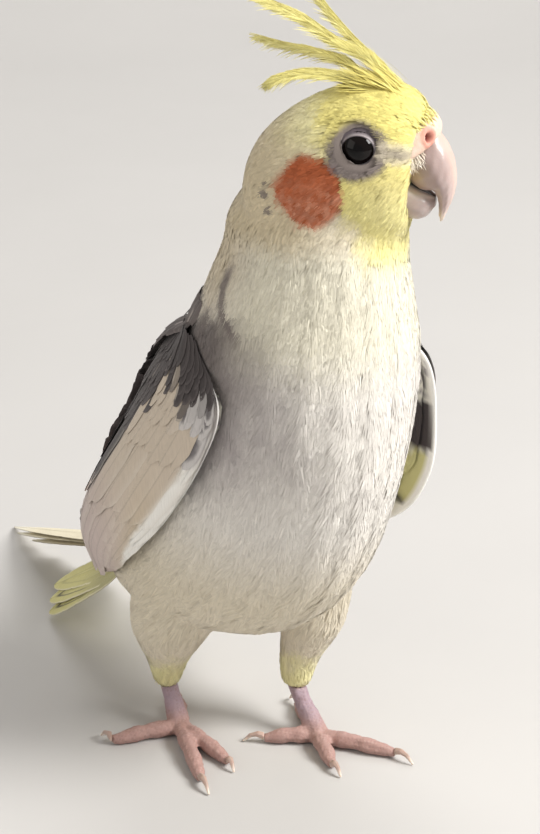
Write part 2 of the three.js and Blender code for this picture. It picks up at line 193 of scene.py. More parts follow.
def remeshed(mesh, voxel, smoothing):
    """Points in millimetres, normals and faces of the mesh rebuilt in voxels and smoothed."""
    scratch = bpy.data.objects.new("scratch", mesh)
    bpy.context.collection.objects.link(scratch)
    remesh = scratch.modifiers.new("remesh", "REMESH")
    remesh.mode = "VOXEL"
    remesh.voxel_size = voxel * MM
    remesh.adaptivity = 0.0
    smooth = scratch.modifiers.new("smooth", "SMOOTH")
    smooth.factor = 0.5
    smooth.iterations = smoothing
    made = bpy.data.meshes.new_from_object(scratch.evaluated_get(bpy.context.evaluated_depsgraph_get()))
    bpy.data.objects.remove(scratch)
    spots = np.zeros(len(made.vertices) * 3, np.float32)
    made.vertices.foreach_get("co", spots)
    normals = np.zeros(len(made.vertices) * 3, np.float32)
    made.vertex_normals.foreach_get("vector", normals)
    corners = np.zeros(len(made.loops), np.int32)
    made.loops.foreach_get("vertex_index", corners)
    sizes = np.zeros(len(made.polygons), np.int32)
    made.polygons.foreach_get("loop_total", sizes)
    bpy.data.meshes.remove(made)
    return spots.reshape(-1, 3) / MM, normals.reshape(-1, 3), corners, sizes


def make_piece(name, spots, corners, sizes, material, nodes=(), tint=None, lay=None, uv=None, soft=None):
    """A piece from arrays, in millimetres, riding on the one body of the frame."""
    mesh = bpy.data.meshes.new(name)
    mesh.vertices.add(len(spots))
    mesh.vertices.foreach_set("co", np.ascontiguousarray(spots * MM, np.float32).ravel())
    mesh.loops.add(len(corners))
    mesh.loops.foreach_set("vertex_index", np.ascontiguousarray(corners, np.int32))
    mesh.polygons.add(len(sizes))
    mesh.polygons.foreach_set("loop_start", np.concatenate([[0], np.cumsum(sizes)[:-1]]).astype(np.int32))
    mesh.update(calc_edges=True)
    mesh.polygons.foreach_set("use_smooth", [True] * len(sizes))
    if tint is not None:
        colour = mesh.color_attributes.new("tint", "FLOAT_COLOR", "POINT")
        rgba = np.concatenate([np.clip(tint, 0, 1), np.ones((len(tint), 1))], 1).astype(np.float32)
        colour.data.foreach_set("color", rgba.ravel())
    if lay is not None:
        mesh.attributes.new("lay", "FLOAT_VECTOR", "POINT").data.foreach_set("vector", lay.astype(np.float32).ravel())
    if uv is not None:
        layer = mesh.uv_layers.new(name="OFBake")
        flat = uv if len(uv) == len(corners) else uv[corners]
        layer.uv.foreach_set("vector", np.clip(flat, 0, 1).astype(np.float32).ravel())
    mesh.validate()
    if soft is not None:
        mesh.normals_split_custom_set_from_vertices(soft.astype(float))
    mesh.materials.append(material)
    thing = bpy.data.objects.new(name, mesh)
    bpy.context.collection.objects.link(thing)
    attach(thing, "root")
    if nodes:
        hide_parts(*nodes)
    return thing


outline, outline_normals, outline_corners, outline_sizes = remeshed(
    solid_of(FLESH, MERGE_SWELL), SKIN_VOXEL, 14)
outline = outline - outline_normals * (MERGE_SWELL - 0.15)
nape = np.exp(-((outline[:, 2] - 130) / 5.0) ** 2) * np.clip(outline_normals[:, 1] - 0.6 * outline_normals[:, 0], 0, 1)
outline = outline + outline_normals * (1.1 * nape)[:, None]


def tree_of(spots, corners, sizes):
    ends = np.cumsum(sizes)
    faces = [corners[end - size:end].tolist() for end, size in zip(ends, sizes)]
    return BVHTree.FromPolygons(spots.tolist(), faces), faces


body_tree, body_faces = tree_of(outline, outline_corners, outline_sizes)
body_face_normals = unit(np.array([outline_normals[face].mean(0) for face in body_faces]))


def snapped(points, tree, face_normals):
    """The nearest points of a surface, and the surface's direction there."""
    spots = np.empty_like(points)
    ups = np.empty_like(points)
    for i, point in enumerate(points):
        spot, normal, face, distance = tree.find_nearest(Vector(point))
        spots[i] = spot
        ups[i] = face_normals[face]
    return spots, ups


# Directions of the head: its places are read from the eyes, forward to the bill, right and up.
eye_right = np.mean([np.array(corner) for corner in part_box("eye_right")], axis=0) / MM
eye_left = np.mean([np.array(corner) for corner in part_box("eye_left")], axis=0) / MM
eye_middle = (eye_right + eye_left) / 2
HEAD_RIGHT = unit(eye_right - eye_left)
HEAD_UP = np.array([0.0, 0.0, 1.0])
HEAD_FORWARD = np.cross(HEAD_UP, HEAD_RIGHT)


def head_place(points):
    """Forward, right and up of the middle between the eyes."""
    away = points - eye_middle
    return away @ HEAD_FORWARD, away @ HEAD_RIGHT, away @ HEAD_UP


def from_head(forward, right, up):
    forward, right, up = np.broadcast_arrays(forward, right, up)
    return eye_middle + forward[..., None] * HEAD_FORWARD + right[..., None] * HEAD_RIGHT + up[..., None] * HEAD_UP


# The line that the body is built round, from the crown to the tail, as distance along Y and height.
SPINE = np.array([[-73.0, 172.0], [-71.0, 150.0], [-66.0, 130.0], [-62.0, 112.0], [-56.0, 92.0],
                  [-47.0, 72.0], [-36.0, 56.0], [-20.0, 44.0], [0.0, 36.0], [20.0, 30.0]])


def along_body(points):
    """Length along the spine, angle round it (0 at the breast, positive on the left) and the way it runs."""
    yz = points[:, 1:]
    starts, steps = SPINE[:-1], np.diff(SPINE, axis=0)
    lengths = np.linalg.norm(steps, axis=1)
    before = np.concatenate([[0], np.cumsum(lengths)[:-1]])
    share = ((yz[:, None] - starts) * steps).sum(-1) / lengths ** 2
    share = np.clip(share, 0, 1)
    feet = starts + share[..., None] * steps
    gaps = np.linalg.norm(yz[:, None] - feet, axis=-1)
    best = gaps.argmin(1)
    rows = np.arange(len(points))
    ways = unit(np.gradient(SPINE, axis=0))
    share = share[rows, best]
    way = unit(ways[best] * (1 - share[:, None]) + ways[best + 1] * share[:, None])
    front = np.stack([way[:, 1], -way[:, 0]], 1)
    away = yz - feet[rows, best]
    angle = np.arctan2(points[:, 0] - 0.0, (away * front).sum(1))
    return before[best] + share * lengths[best], angle, way


def body_map(points):
    """The skin unwrapped: round the spine and along it, with the thighs in a strip of their own."""
    length, angle, way = along_body(points)
    total = np.linalg.norm(np.diff(SPINE, axis=0), axis=1).sum()
    u = 0.03 + 0.74 * (angle / (2 * math.pi) + 0.5)
    v = 0.02 + 0.96 * length / total
    low = points[:, 2] < 26
    side = np.where(points[:, 0] > 0, 0.0, 0.09)
    turn = np.arctan2(points[:, 1] + 33, np.abs(points[:, 0]) - 12)
    u = np.where(low & (points[:, 1] < -15), 0.82 + side + 0.08 * (turn / (2 * math.pi) + 0.5), u)
    v = np.where(low & (points[:, 1] < -15), 0.02 + 0.03 * points[:, 2], v)
    return np.stack([u, v], 1)


def seam_closed(uv, corners, sizes, tile=0.74):
    """Corner by corner, with faces that cross the seam moved to its far side."""
    flat = uv[corners].copy()
    ends = np.cumsum(sizes)
    starts = ends - sizes
    top = np.maximum.reduceat(flat[:, 0], starts)
    crossing = (top - np.minimum.reduceat(flat[:, 0], starts)) > tile / 2
    wide = np.repeat(crossing, sizes)
    low = flat[:, 0] < np.repeat(top, sizes) - tile / 2
    flat[wide & low, 0] += tile
    return flat


def pigment(red, green, blue):
    """A colour as paint charts give it, 0 to 255, for the shaders."""
    share = np.array([red, green, blue]) / 255
    return np.where(share <= 0.04045, share / 12.92, ((share + 0.055) / 1.055) ** 2.4)


WHITE = pigment(236, 232, 225)
CREAM = pigment(226, 215, 190)
TAN = pigment(216, 198, 158)
LAVENDER = pigment(166, 158, 160)
LEMON = pigment(240, 227, 126)
PALE_LEMON = pigment(238, 232, 172)
RUST = pigment(186, 98, 58)
RUST_PINK = pigment(222, 158, 128)
CHARCOAL = pigment(70, 64, 64)
SLATE = pigment(124, 114, 112)
EYE_GREY = pigment(118, 108, 116)

ripple_ways = chance.normal(size=(7, 3))
ripple_starts = chance.uniform(0, 2 * math.pi, 7)


def ripple(points, size):
    """Smooth random waves, about -1 to 1, of a size in millimetres."""
    total = np.zeros(len(points))
    for way, start in zip(unit(ripple_ways), ripple_starts):
        total += np.sin(points @ way * (2 * math.pi / size) + start + 1.7 * np.sin(points @ way[::-1] * 2.1 / size))
    return total / 3.6


def rising(value, low, high):
    share = np.clip((value - low) / (high - low), 0, 1)
    return share * share * (3 - 2 * share)


def painted(colour, over, share):
    return colour + (over - colour) * np.clip(share, 0, 1)[:, None]


NECK_MARK_AND_CREASE_SHADE = ((108.5, 111, 113.5, 117, 120, 123), (-69.0, -65.0, -62.3, -61.2, -61.6, -62.8))


def coat_colour(points):
    """The markings of the body coat at each point, with painted shade beside the near wing and in the crease of the
    neck.
    """
    length, angle, way = along_body(points)
    forward, right, up = head_place(points)
    height = points[:, 2]
    fine = ripple(points, 5.0)
    broad = ripple(points, 19.0)
    back = np.abs(angle)
    colour = np.tile(WHITE, (len(points), 1))
    colour = painted(colour, CREAM, 0.85 * (1 - rising(height, 44, 70)))
    # Tan on the back and sides of the neck: partly the coat's own tan, partly painted shade where the neck turns away
    # from the light.
    colour = painted(colour, TAN, 0.7 * rising(back, 0.9, 2.0) * rising(height, 98, 122))
    bib = rising(height, 96, 112) * (1 - rising(back, 1.1, 1.8))
    colour = painted(colour, pigment(238, 233, 208), 0.7 * bib)
    # The lavender wash of the breast: its own colour, made stronger on the near side towards the wing as painted shade,
    # and weaker towards the far side.
    wash = rising(height, 64, 86) * (1 - rising(height, 98, 110)) * (1 - rising(back, 1.6, 2.2))
    near_side_wash_and_shade = rising(-angle, 0.45, 1.1)
    patchy = 0.08 + 0.62 * near_side_wash_and_shade + 0.12 * broad + 0.08 * fine
    colour = painted(colour, LAVENDER, wash * patchy * (1 - 0.5 * rising(angle, -0.2, 0.9)))
    head = rising(height, 124, 131)
    colour = painted(colour, CREAM, head * 0.9)
    colour = painted(colour, TAN, 0.5 * head * (1 - rising(forward, -14, -4)))
    edge = np.interp(up, [-24, -18, -8, 0, 6, 12], [1.5, 0.5, -5.5, -7, -9, -12]) + 1.3 * fine
    yellow = rising(forward, edge - 2.5, edge + 3.5) * rising(up + 1.1 * fine, -27, -20)
    colour = painted(colour, PALE_LEMON, 0.8 * rising(forward, -22, -8) * rising(up, -4, 4))
    colour = painted(colour, LEMON, yellow * (0.78 + 0.12 * broad))
    colour = painted(colour, PALE_LEMON, 0.45 * yellow * (1 - rising(up, -14, -2)))
    dark_back = rising(back, 1.95 + 0.08 * fine, 2.2 + 0.08 * fine) * rising(height, 46, 58)
    dark_back = dark_back * (1 - rising(height + 2.0 * fine, 108, 113))
    colour = painted(colour, CHARCOAL, dark_back)
    shoulder = rising(-angle, 1.15, 1.5) * rising(height, 98, 103) * (1 - rising(height + fine, 108, 113))
    colour = painted(colour, CHARCOAL, 0.85 * shoulder)
    # Slate beside the near wing: partly the grey of the feathers there, partly painted shade from the wing.
    grey_and_wing_shade = rising(-angle, 0.7, 1.3) * rising(height, 90, 99) * (1 - rising(height + fine, 107, 115))
    colour = painted(colour, SLATE, 0.6 * grey_and_wing_shade)
    # The grey hook on the near side of the neck: partly dark grey feathers, partly painted shade in the crease there.
    hook = np.abs(points[:, 1] - np.interp(height, NECK_MARK_AND_CREASE_SHADE[0], NECK_MARK_AND_CREASE_SHADE[1]))
    near = rising(-points[:, 0], 14, 19)
    colour = painted(colour, SLATE, 0.85 * near * (1 - rising(hook, 0.5, 2.4)) * rising(height, 107, 110)
                     * (1 - rising(height, 119, 124)))
    cuff = (1 - rising(height + 1.5 * fine, 15, 24)) * (1 - rising(points[:, 1], -8, 0))
    colour = painted(colour, PALE_LEMON, 0.9 * cuff)
    return face_marks(colour, points, forward, right, up, fine)


def face_marks(colour, points, forward, right, up, fine):
    """The cheek patch, the grey round the eye and the specks behind the cheek."""
    side = rising(np.abs(right), 4, 7)
    lean = 0.26
    a = (forward + 8.9) + lean * (up + 8.2)
    b = (up + 8.2) - lean * (forward + 8.9)
    cheek = np.hypot(a / 6.7, b / 7.4) + 0.07 * fine
    patch = side * (1 - rising(cheek, 0.86, 1.12))
    rust = painted(np.tile(RUST, (len(points), 1)), RUST_PINK, 0.95 * (1 - rising(up, -13, -3)) * (0.5 + 0.5 * ripple(points, 1.7)))
    rust = painted(rust, pigment(140, 66, 34), 0.4 * np.clip(ripple(points[:, ::-1], 3.1), 0, 1))
    colour = colour + (rust - colour) * patch[:, None]
    ring = np.hypot(forward * 0.92, up)
    grey = side * (1 - rising(ring + 0.25 * fine, 4.6, 6.4))
    colour = painted(colour, EYE_GREY, 0.92 * grey)
    lore = np.hypot((forward - 7.6) / 3.6, (up + 0.5 + 0.25 * (forward - 7.6)) / 1.6) + 0.08 * fine
    colour = painted(colour, CREAM, 0.75 * side * (1 - rising(lore, 0.8, 1.8)))
    colour = painted(colour, EYE_GREY, 0.6 * side * (1 - rising(lore, 0.3, 1.1)))
    for f, u in ((-17.6, -7.4), (-17.9, -9.4), (-17.4, -12.9)):
        speck = np.hypot(forward - f, up - u)
        colour = painted(colour, SLATE, 0.8 * side * (1 - rising(speck, 0.5, 1.1)))
    return colour


def plumage(name, roughness=0.82, streak=26.0, depth=0.2, spread=0.06):
    """Soft feather: the tint of the piece, broken by fine streaks along the barbs."""
    material, tree, shader, add = node_material(name)
    tint = add("ShaderNodeAttribute", attribute_name="tint")
    lay = add("ShaderNodeAttribute", attribute_name="lay")
    stretch = add("ShaderNodeVectorMath", operation="MULTIPLY")
    stretch.inputs[1].default_value = (1.0, streak, 3.0)
    noise = add("ShaderNodeTexNoise", Scale=2.2, Detail=4.0, Roughness=0.6)
    tree.links.new(lay.outputs["Vector"], stretch.inputs[0])
    tree.links.new(stretch.outputs["Vector"], noise.inputs["Vector"])
    tone = add("ShaderNodeValToRGB")
    tone.color_ramp.elements[0].position = 0.3
    tone.color_ramp.elements[0].color = (1 - spread * 1.6, 1 - spread * 1.7, 1 - spread * 1.8, 1)
    tone.color_ramp.elements[1].position = 0.7
    tone.color_ramp.elements[1].color = (1, 1, 1, 1)
    tree.links.new(noise.outputs["Fac"], tone.inputs["Fac"])
    mix = add("ShaderNodeMix", data_type="RGBA", blend_type="MULTIPLY")
    mix.inputs["Factor"].default_value = 1.0
    tree.links.new(tint.outputs["Color"], mix.inputs[6])
    tree.links.new(tone.outputs["Color"], mix.inputs[7])
    tree.links.new(mix.outputs[2], shader.inputs["Base Color"])
    bump = add("ShaderNodeBump", Strength=depth, Distance=0.0004)
    tree.links.new(noise.outputs["Fac"], bump.inputs["Height"])
    tree.links.new(bump.outputs["Normal"], shader.inputs["Normal"])
    shader.inputs["Roughness"].default_value = roughness
    shader.inputs["Specular IOR Level"].default_value = 0.25
    shader.inputs["Sheen Weight"].default_value = 0.18
    shader.inputs["Sheen Roughness"].default_value = 0.5
    return material


down_material = plumage("down_coat", roughness=0.92)
skin_depth = np.where(outline[:, 2] > 128, 0.5, SKIN_DEPTH)
skin = outline - outline_normals * skin_depth[:, None]
skin_uv = seam_closed(body_map(outline), outline_corners, outline_sizes)
skin_tint = coat_colour(outline)
make_piece("skin", skin, outline_corners, outline_sizes, down_material, FLESH,
           tint=skin_tint, lay=outline * 0.3, uv=skin_uv)

# The body feathers: soft contour feathers in overlapping rows, each a fan of fine barbs. They grow
# from the skin and lie towards the tail, and away from the bill on the head.
BILL_ROOT = from_head(np.array(11.5), np.array(0.0), np.array(-1.0))


def body_lie(points):
    """The way the coat lies."""
    length, angle, way = along_body(points)
    down = np.stack([np.zeros(len(points)), way[:, 0], way[:, 1]], 1)
    from_bill = unit(points - BILL_ROOT)
    swept = unit(from_bill + 0.35 * np.array([0, 0, -1.0]) * rising(-head_place(points)[2], -4, 12)[:, None])
    share = rising(points[:, 2], 118, 136)[:, None]
    lie = down * (1 - share) + swept * share
    leg = (rising(-points[:, 2], -31, -25) * (points[:, 1] < -16))[:, None]
    lie = lie * (1 - leg) + np.array([0, 0.12, -1.0]) * leg
    wander = 0.16 * np.stack([ripple(points, 13.0), ripple(points[:, ::-1], 11.0), np.zeros(len(points))], 1)
    return unit(lie + wander)


def scattered(spots, normals, spacing, keep):
    """One random point in each cell of a grid over the surface, where keep is true."""
    spots, normals = spots[keep], normals[keep]
    order = chance.permutation(len(spots))
    cells = np.floor(spots[order] / spacing).astype(np.int64)
    keys = (cells[:, 0] * 4001 + cells[:, 1]) * 4001 + cells[:, 2]
    first = np.unique(keys, return_index=True)[1]
    chosen = order[first]
    return spots[chosen], normals[chosen]


def paths(roots, reach, rows, lie, tree, face_normals):
    """Each feather's way over the surface: places, up and side at each row."""
    here, up = snapped(roots, tree, face_normals)
    places, ups, sides = [], [], []
    for row in range(rows + 1):
        way = lie(here)
        way = unit(way - (way * up).sum(1, keepdims=True) * up)
        places.append(here)
        ups.append(up)
        sides.append(np.cross(up, way))
        if row < rows:
            here, up = snapped(here + way * (reach / rows)[:, None], tree, face_normals)
    return np.array(places), np.array(ups), np.array(sides)


def tufts(name, roots, reach, width, barbs, lie, colour, surface, uv_of, material,
          sink=1.1, lift=0.25, rows=4, barb_width=1.0, ragged=0.2):
    """Fans of barbs. Each barb is a narrow tapered ribbon that follows the surface."""
    count = len(roots)
    if not count:
        return
    reach = np.broadcast_to(np.asarray(reach, float), (count,))
    width = np.broadcast_to(np.asarray(width, float), (count,))
    tree, face_normals = surface
    places, ups, sides = paths(roots, reach, rows, lie, tree, face_normals)
    fan = np.linspace(-1, 1, barbs)
    a = fan[None] + chance.uniform(-0.5, 0.5, (count, barbs)) / barbs
    share = 1 - 0.22 * a ** 2 + chance.uniform(-ragged, ragged * 0.5, (count, barbs))
    raised = lift * (1 + chance.uniform(-0.5, 0.6, (count, barbs))) + 0.04 * chance.uniform(-1, 1, (count, 1))
    roll = chance.uniform(-0.09, 0.09, (count, barbs)) - 0.15 * a
    spots = np.empty((count, barbs, 2 * rows + 1, 3), np.float32)
    soft = np.empty_like(spots)
    sway = 0.06 * chance.normal(size=(count, barbs, 3)) + 0.06 * chance.normal(size=(count, 1, 3))
    lay = np.empty((count, barbs, 2 * rows + 1, 3), np.float32)
    who = np.arange(count)[:, None]
    ident = chance.uniform(0, 60, (count, barbs))
    for row in range(rows + 1):
        at = np.clip(share * row, 0, rows - 1e-4)
        low = at.astype(int)
        part = (at - low)[..., None]
        spot = places[low, who] * (1 - part) + places[low + 1, who] * part
        up = unit(ups[low, who] * (1 - part) + ups[low + 1, who] * part)
        side = unit(sides[low, who] * (1 - part) + sides[low + 1, who] * part)
        t = row / rows
        out = a * (width / 2)[:, None] * (0.35 + 0.75 * t ** 0.7)
        rise = -sink + (sink + raised) * min(1.0, 1.8 * t) ** 0.7 - 0.10 * (t > 0.7)
        centre = spot + side * out[..., None] + up * rise[..., None]
        half = barb_width * (width / barbs)[:, None, None] * (0.55, 1.0, 0.9, 0.62, 0.0, 0.0)[min(row, 5)] * 0.72
        if rows == 4:
            half = barb_width * (width / barbs)[:, None, None] * (0.6, 1.0, 0.95, 0.6, 0.0)[row] * 0.72
        elif rows == 3:
            half = barb_width * (width / barbs)[:, None, None] * (0.7, 1.0, 0.75, 0.0)[row] * 0.72
        cross = side + up * roll[..., None]
        soft[:, :, 2 * row:2 * row + 2] = unit(up + sway + 0.25 * side * a[..., None])[:, :, None]
        if row < rows:
            spots[:, :, 2 * row] = centre - cross * half
            spots[:, :, 2 * row + 1] = centre + cross * half
            lay[:, :, 2 * row] = np.stack([np.full_like(a, t), ident, np.zeros_like(a)], -1)
            lay[:, :, 2 * row + 1] = np.stack([np.full_like(a, t), ident + 0.35, np.zeros_like(a)], -1)
        else:
            spots[:, :, 2 * rows] = centre
            lay[:, :, 2 * rows] = np.stack([np.full_like(a, t), ident + 0.17, np.zeros_like(a)], -1)
    middle = spots[:, :, 2 * (rows // 2)].reshape(-1, 3)
    tint = colour(middle.astype(float)).reshape(count, barbs, 1, 3)
    tint = tint * (1 + 0.05 * chance.normal(size=(count, barbs, 1, 1)))
    shade = np.concatenate([np.repeat(np.linspace(0.93, 1.0, rows), 2), [1.02]])
    tint = np.clip(tint * shade[None, None, :, None], 0, 1)
    quads = [(2 * r + 1, 2 * r, 2 * r + 2, 2 * r + 3) for r in range(rows - 1)]
    pattern = np.array([c for quad in quads for c in quad] + [2 * rows - 1, 2 * rows - 2, 2 * rows])
    sizes = np.array([4] * (rows - 1) + [3])
    per = 2 * rows + 1
    base = np.arange(count * barbs)[:, None] * per
    corners = (base + pattern[None]).ravel()
    root_uv = uv_of(places[0])
    u = root_uv[:, None, None, 0] + 0.003 * (fan[None, :, None] * 0.5) + np.zeros((count, barbs, per))
    rows_v = np.concatenate([np.repeat(np.arange(rows), 2), [rows]]) / rows
    v = root_uv[:, None, None, 1] + 0.003 * rows_v[None, None] + np.zeros((count, barbs, per))
    u = u + 0.0004 * (np.arange(per) % 2)[None, None]
    uv = np.stack([u, v], -1).reshape(-1, 2)
    return make_piece(name, spots.reshape(-1, 3), corners, np.tile(sizes, count * barbs), material,
                      tint=tint.reshape(-1, 3), lay=lay.reshape(-1, 3), uv=uv, soft=soft.reshape(-1, 3))


coat_material = plumage("contour_feather")
body_surface = (body_tree, body_face_normals)
ROOT_HEIGHT = outline[:, 2]
head_f, head_r, head_u = head_place(outline)
on_head = outline[:, 2] > 124
near_eye = np.minimum(np.linalg.norm(outline - eye_right, axis=1), np.linalg.norm(outline - eye_left, axis=1))
under_bill_root = (head_f > 9.0) & (np.abs(head_r) < 6.2) & (head_u < 3.5) & (head_u > -13)
bare = (near_eye < 5.7) | under_bill_root
tail_end = outline[:, 1] > 6.5
low_leg = (outline[:, 2] < 12.5)
REGIONS = {
    # name: (cells, where, length, width, barbs, sink, lift)
    "coat_belly": (2.0, (ROOT_HEIGHT < 62) & ~tail_end & (ROOT_HEIGHT > 30), 8.0, 4.0, 13, 0.5, 0.09),
    "coat_breast": (2.02, (ROOT_HEIGHT >= 62) & (ROOT_HEIGHT < 100), 7.5, 3.8, 13, 0.5, 0.07),
    "coat_neck": (1.5, (ROOT_HEIGHT >= 100) & (ROOT_HEIGHT < 126), 6.0, 2.8, 11, 0.5, 0.06),
    "coat_head": (1.15, (ROOT_HEIGHT >= 126) & ~bare & (near_eye > 7), 4.2, 1.8, 6, 0.5, 0.05),
    "coat_face": (0.85, (ROOT_HEIGHT >= 126) & ~bare & (near_eye <= 7), 2.0, 1.0, 5, 0.45, 0.03),
    "coat_legs": (1.35, (ROOT_HEIGHT <= 30) & ~tail_end & (ROOT_HEIGHT > 12.5), 5.0, 2.2, 7, 0.9, 0.08),
    "coat_tail_root": (1.6, tail_end, 7.0, 3.2, 8, 0.9, 0.1),
}
for region, (spacing, where, length, width, barbs, sink, lift) in REGIONS.items():
    roots, root_normals = scattered(outline, outline_normals, spacing, where)
    reach = length * (1 + 0.15 * chance.uniform(-1, 1, len(roots)))
    tufts(region, roots, reach, width, barbs, body_lie, coat_colour, body_surface, body_map, coat_material,
          sink=sink, lift=lift)


# Eyes: glossy dark balls deep in the head, each in a soft ring of bare, beaded lid skin.
LID_OPENING = (3.1, 2.75)
LID_RISE = 0.3
LID_STEPS = ((-0.15, -0.1, 1.0), (0.04, 0.1, 1.0), (0.2, 0.28, 1.0), (0.38, 0.26, 0.9), (0.62, 0.0, 0.5),
             (1.0, -0.15, 0.2), (1.6, -0.4, 0.0), (2.6, -1.0, 0.0))


def grid_faces(rows, columns, ring=True):
    """Quads over rows of points, closed round each row when ring is true."""
    wide = columns if ring else columns - 1
    r, c = np.meshgrid(np.arange(rows - 1), np.arange(wide), indexing="ij")
    nxt = (c + 1) % columns
    quads = np.stack([r * columns + c, r * columns + nxt, (r + 1) * columns + nxt, (r + 1) * columns + c], -1)
    return quads.reshape(-1), np.full((rows - 1) * wide, 4)


def turned_over(corners):
    """Four-cornered faces that look the other way."""
    return np.asarray(corners).reshape(-1, 4)[:, ::-1].ravel()


def grid_uv(rows, columns):
    v, u = np.meshgrid(np.linspace(0.02, 0.98, rows), np.linspace(0.02, 0.98, columns), indexing="ij")
    return np.stack([u, v], -1).reshape(-1, 2)


def plain_material(name, roughness, bump_scale=0.0, bump=0.0, speckle=0.0, coat=0.0, subsurface=0.0):
    """The tint of the piece with a fine mottle and a fine bump."""
    material, tree, shader, add = node_material(name)
    tint = add("ShaderNodeAttribute", attribute_name="tint")
    place = add("ShaderNodeAttribute", attribute_name="lay")
    mottle = add("ShaderNodeTexNoise", Scale=bump_scale or 1.0, Detail=5.0)
    tree.links.new(place.outputs["Vector"], mottle.inputs["Vector"])
    tone = add("ShaderNodeValToRGB")
    tone.color_ramp.elements[0].color = (1 - speckle, 1 - speckle, 1 - speckle, 1)
    tone.color_ramp.elements[1].color = (1 + 0.0, 1, 1, 1)
    tree.links.new(mottle.outputs["Fac"], tone.inputs["Fac"])
    mix = add("ShaderNodeMix", data_type="RGBA", blend_type="MULTIPLY")
    mix.inputs["Factor"].default_value = 1.0
    tree.links.new(tint.outputs["Color"], mix.inputs[6])
    tree.links.new(tone.outputs["Color"], mix.inputs[7])
    tree.links.new(mix.outputs[2], shader.inputs["Base Color"])
    shader.inputs["Roughness"].default_value = roughness
    shader.inputs["Coat Weight"].default_value = coat
    shader.inputs["Coat Roughness"].default_value = 0.1
    shader.inputs["Subsurface Weight"].default_value = subsurface
    shader.inputs["Subsurface Radius"].default_value = (0.0012, 0.0006, 0.0004)
    shader.inputs["Subsurface Scale"].default_value = 1.0
    if bump:
        relief = add("ShaderNodeBump", Strength=bump, Distance=0.0002)
        tree.links.new(mottle.outputs["Fac"], relief.inputs["Height"])
        tree.links.new(relief.outputs["Normal"], shader.inputs["Normal"])
    return material, tree, shader, add


def eye(side, middle):
    name = "right" if side > 0 else "left"
    low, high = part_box(f"eye_{name}")
    radius = (high[2] - low[2]) / 2 / MM
    out = HEAD_RIGHT * side
    rows, columns = 40, 64
    polar = np.linspace(0.0, math.pi, rows)[:, None]
    turn = np.linspace(0, 2 * math.pi, columns, endpoint=False)[None]
    ball = (out * np.cos(polar)[..., None]
            + HEAD_FORWARD * (np.sin(polar) * np.cos(turn))[..., None]
            + HEAD_UP * (np.sin(polar) * np.sin(turn))[..., None])
    bulge = radius * (1 + 0.03 * np.exp(-(polar / 0.5) ** 2))
    spots = middle + ball * bulge[..., None]
    corners, sizes = grid_faces(rows, columns)
    iris = rising(polar, 0.36, 0.44) * (1 - rising(polar, 0.75, 0.9))
    tint = painted(np.tile(pigment(8, 6, 7), (rows * columns, 1)), pigment(20, 12, 10),
                   0.5 * np.broadcast_to(iris, (rows, columns)).ravel())
    material, tree, shader, add = plain_material(f"eye_gloss_{name}", 0.04)
    shader.inputs["Specular IOR Level"].default_value = 0.22
    corners = turned_over(corners) if side > 0 else corners
    make_piece(f"eye_ball_{name}", spots.reshape(-1, 3), corners, sizes, material,
               (f"eye_{name}",), tint=tint, lay=spots.reshape(-1, 3), uv=grid_uv(rows, columns))

    turns = np.linspace(0, 2 * math.pi, 96, endpoint=False)
    lean = turns - 0.12
    opening = 1 / np.sqrt((np.cos(lean) / LID_OPENING[0]) ** 2 + (np.sin(lean) / LID_OPENING[1]) ** 2)
    rings, tints = [], []
    for wider, rise, hold in LID_STEPS:
        reach = opening + wider
        flat = middle + reach[:, None] * (np.cos(turns)[:, None] * HEAD_FORWARD + np.sin(turns)[:, None] * HEAD_UP)
        on_ball = np.sqrt(np.maximum(radius ** 2 - np.minimum(reach, radius - 0.3) ** 2, 0.05))
        outer = []
        for spot, turned, far in zip(flat, turns, reach):
            probe = spot + (max(far, 4.5) - far) * (math.cos(turned) * HEAD_FORWARD + math.sin(turned) * HEAD_UP)
            hit = body_tree.ray_cast(Vector(probe + out * 12), Vector(-out))[0]
            outer.append((np.array(hit) - middle) @ out if hit else radius * 0.6)
        outer = np.array(outer)
        height = hold * np.maximum(on_ball, 0) + (1 - hold) * (outer - 0.25)
        bead = 0.05 * np.sin(turns * 30 + wider * 9) * np.exp(-((wider - 0.4) / 0.3) ** 2)
        rings.append(flat + (height + rise + bead)[:, None] * out)
        edge = math.exp(-((wider - 0.24) / 0.14) ** 2)
        tint = painted(np.tile(pigment(104, 94, 100), (96, 1)), pigment(186, 176, 178), np.full(96, edge))
        # Painted shade on the innermost ring, where the lid tucks in against the eye.
        tints.append(painted(tint, pigment(70, 62, 68), np.full(96, 0.7 if wider < 0 else 0.0)))
    spots = np.concatenate(rings)
    corners, sizes = grid_faces(len(LID_STEPS), 96)
    corners = turned_over(corners) if side > 0 else corners
    make_piece(f"lid_{name}", spots, corners, sizes, lid_material,
               tint=np.concatenate(tints), lay=spots, uv=grid_uv(len(LID_STEPS), 96))


lid_material = plain_material("lid_skin", 0.6, bump_scale=3.0, bump=0.5, speckle=0.25, subsurface=0.1)[0]
eye(1, eye_right)
eye(-1, eye_left)

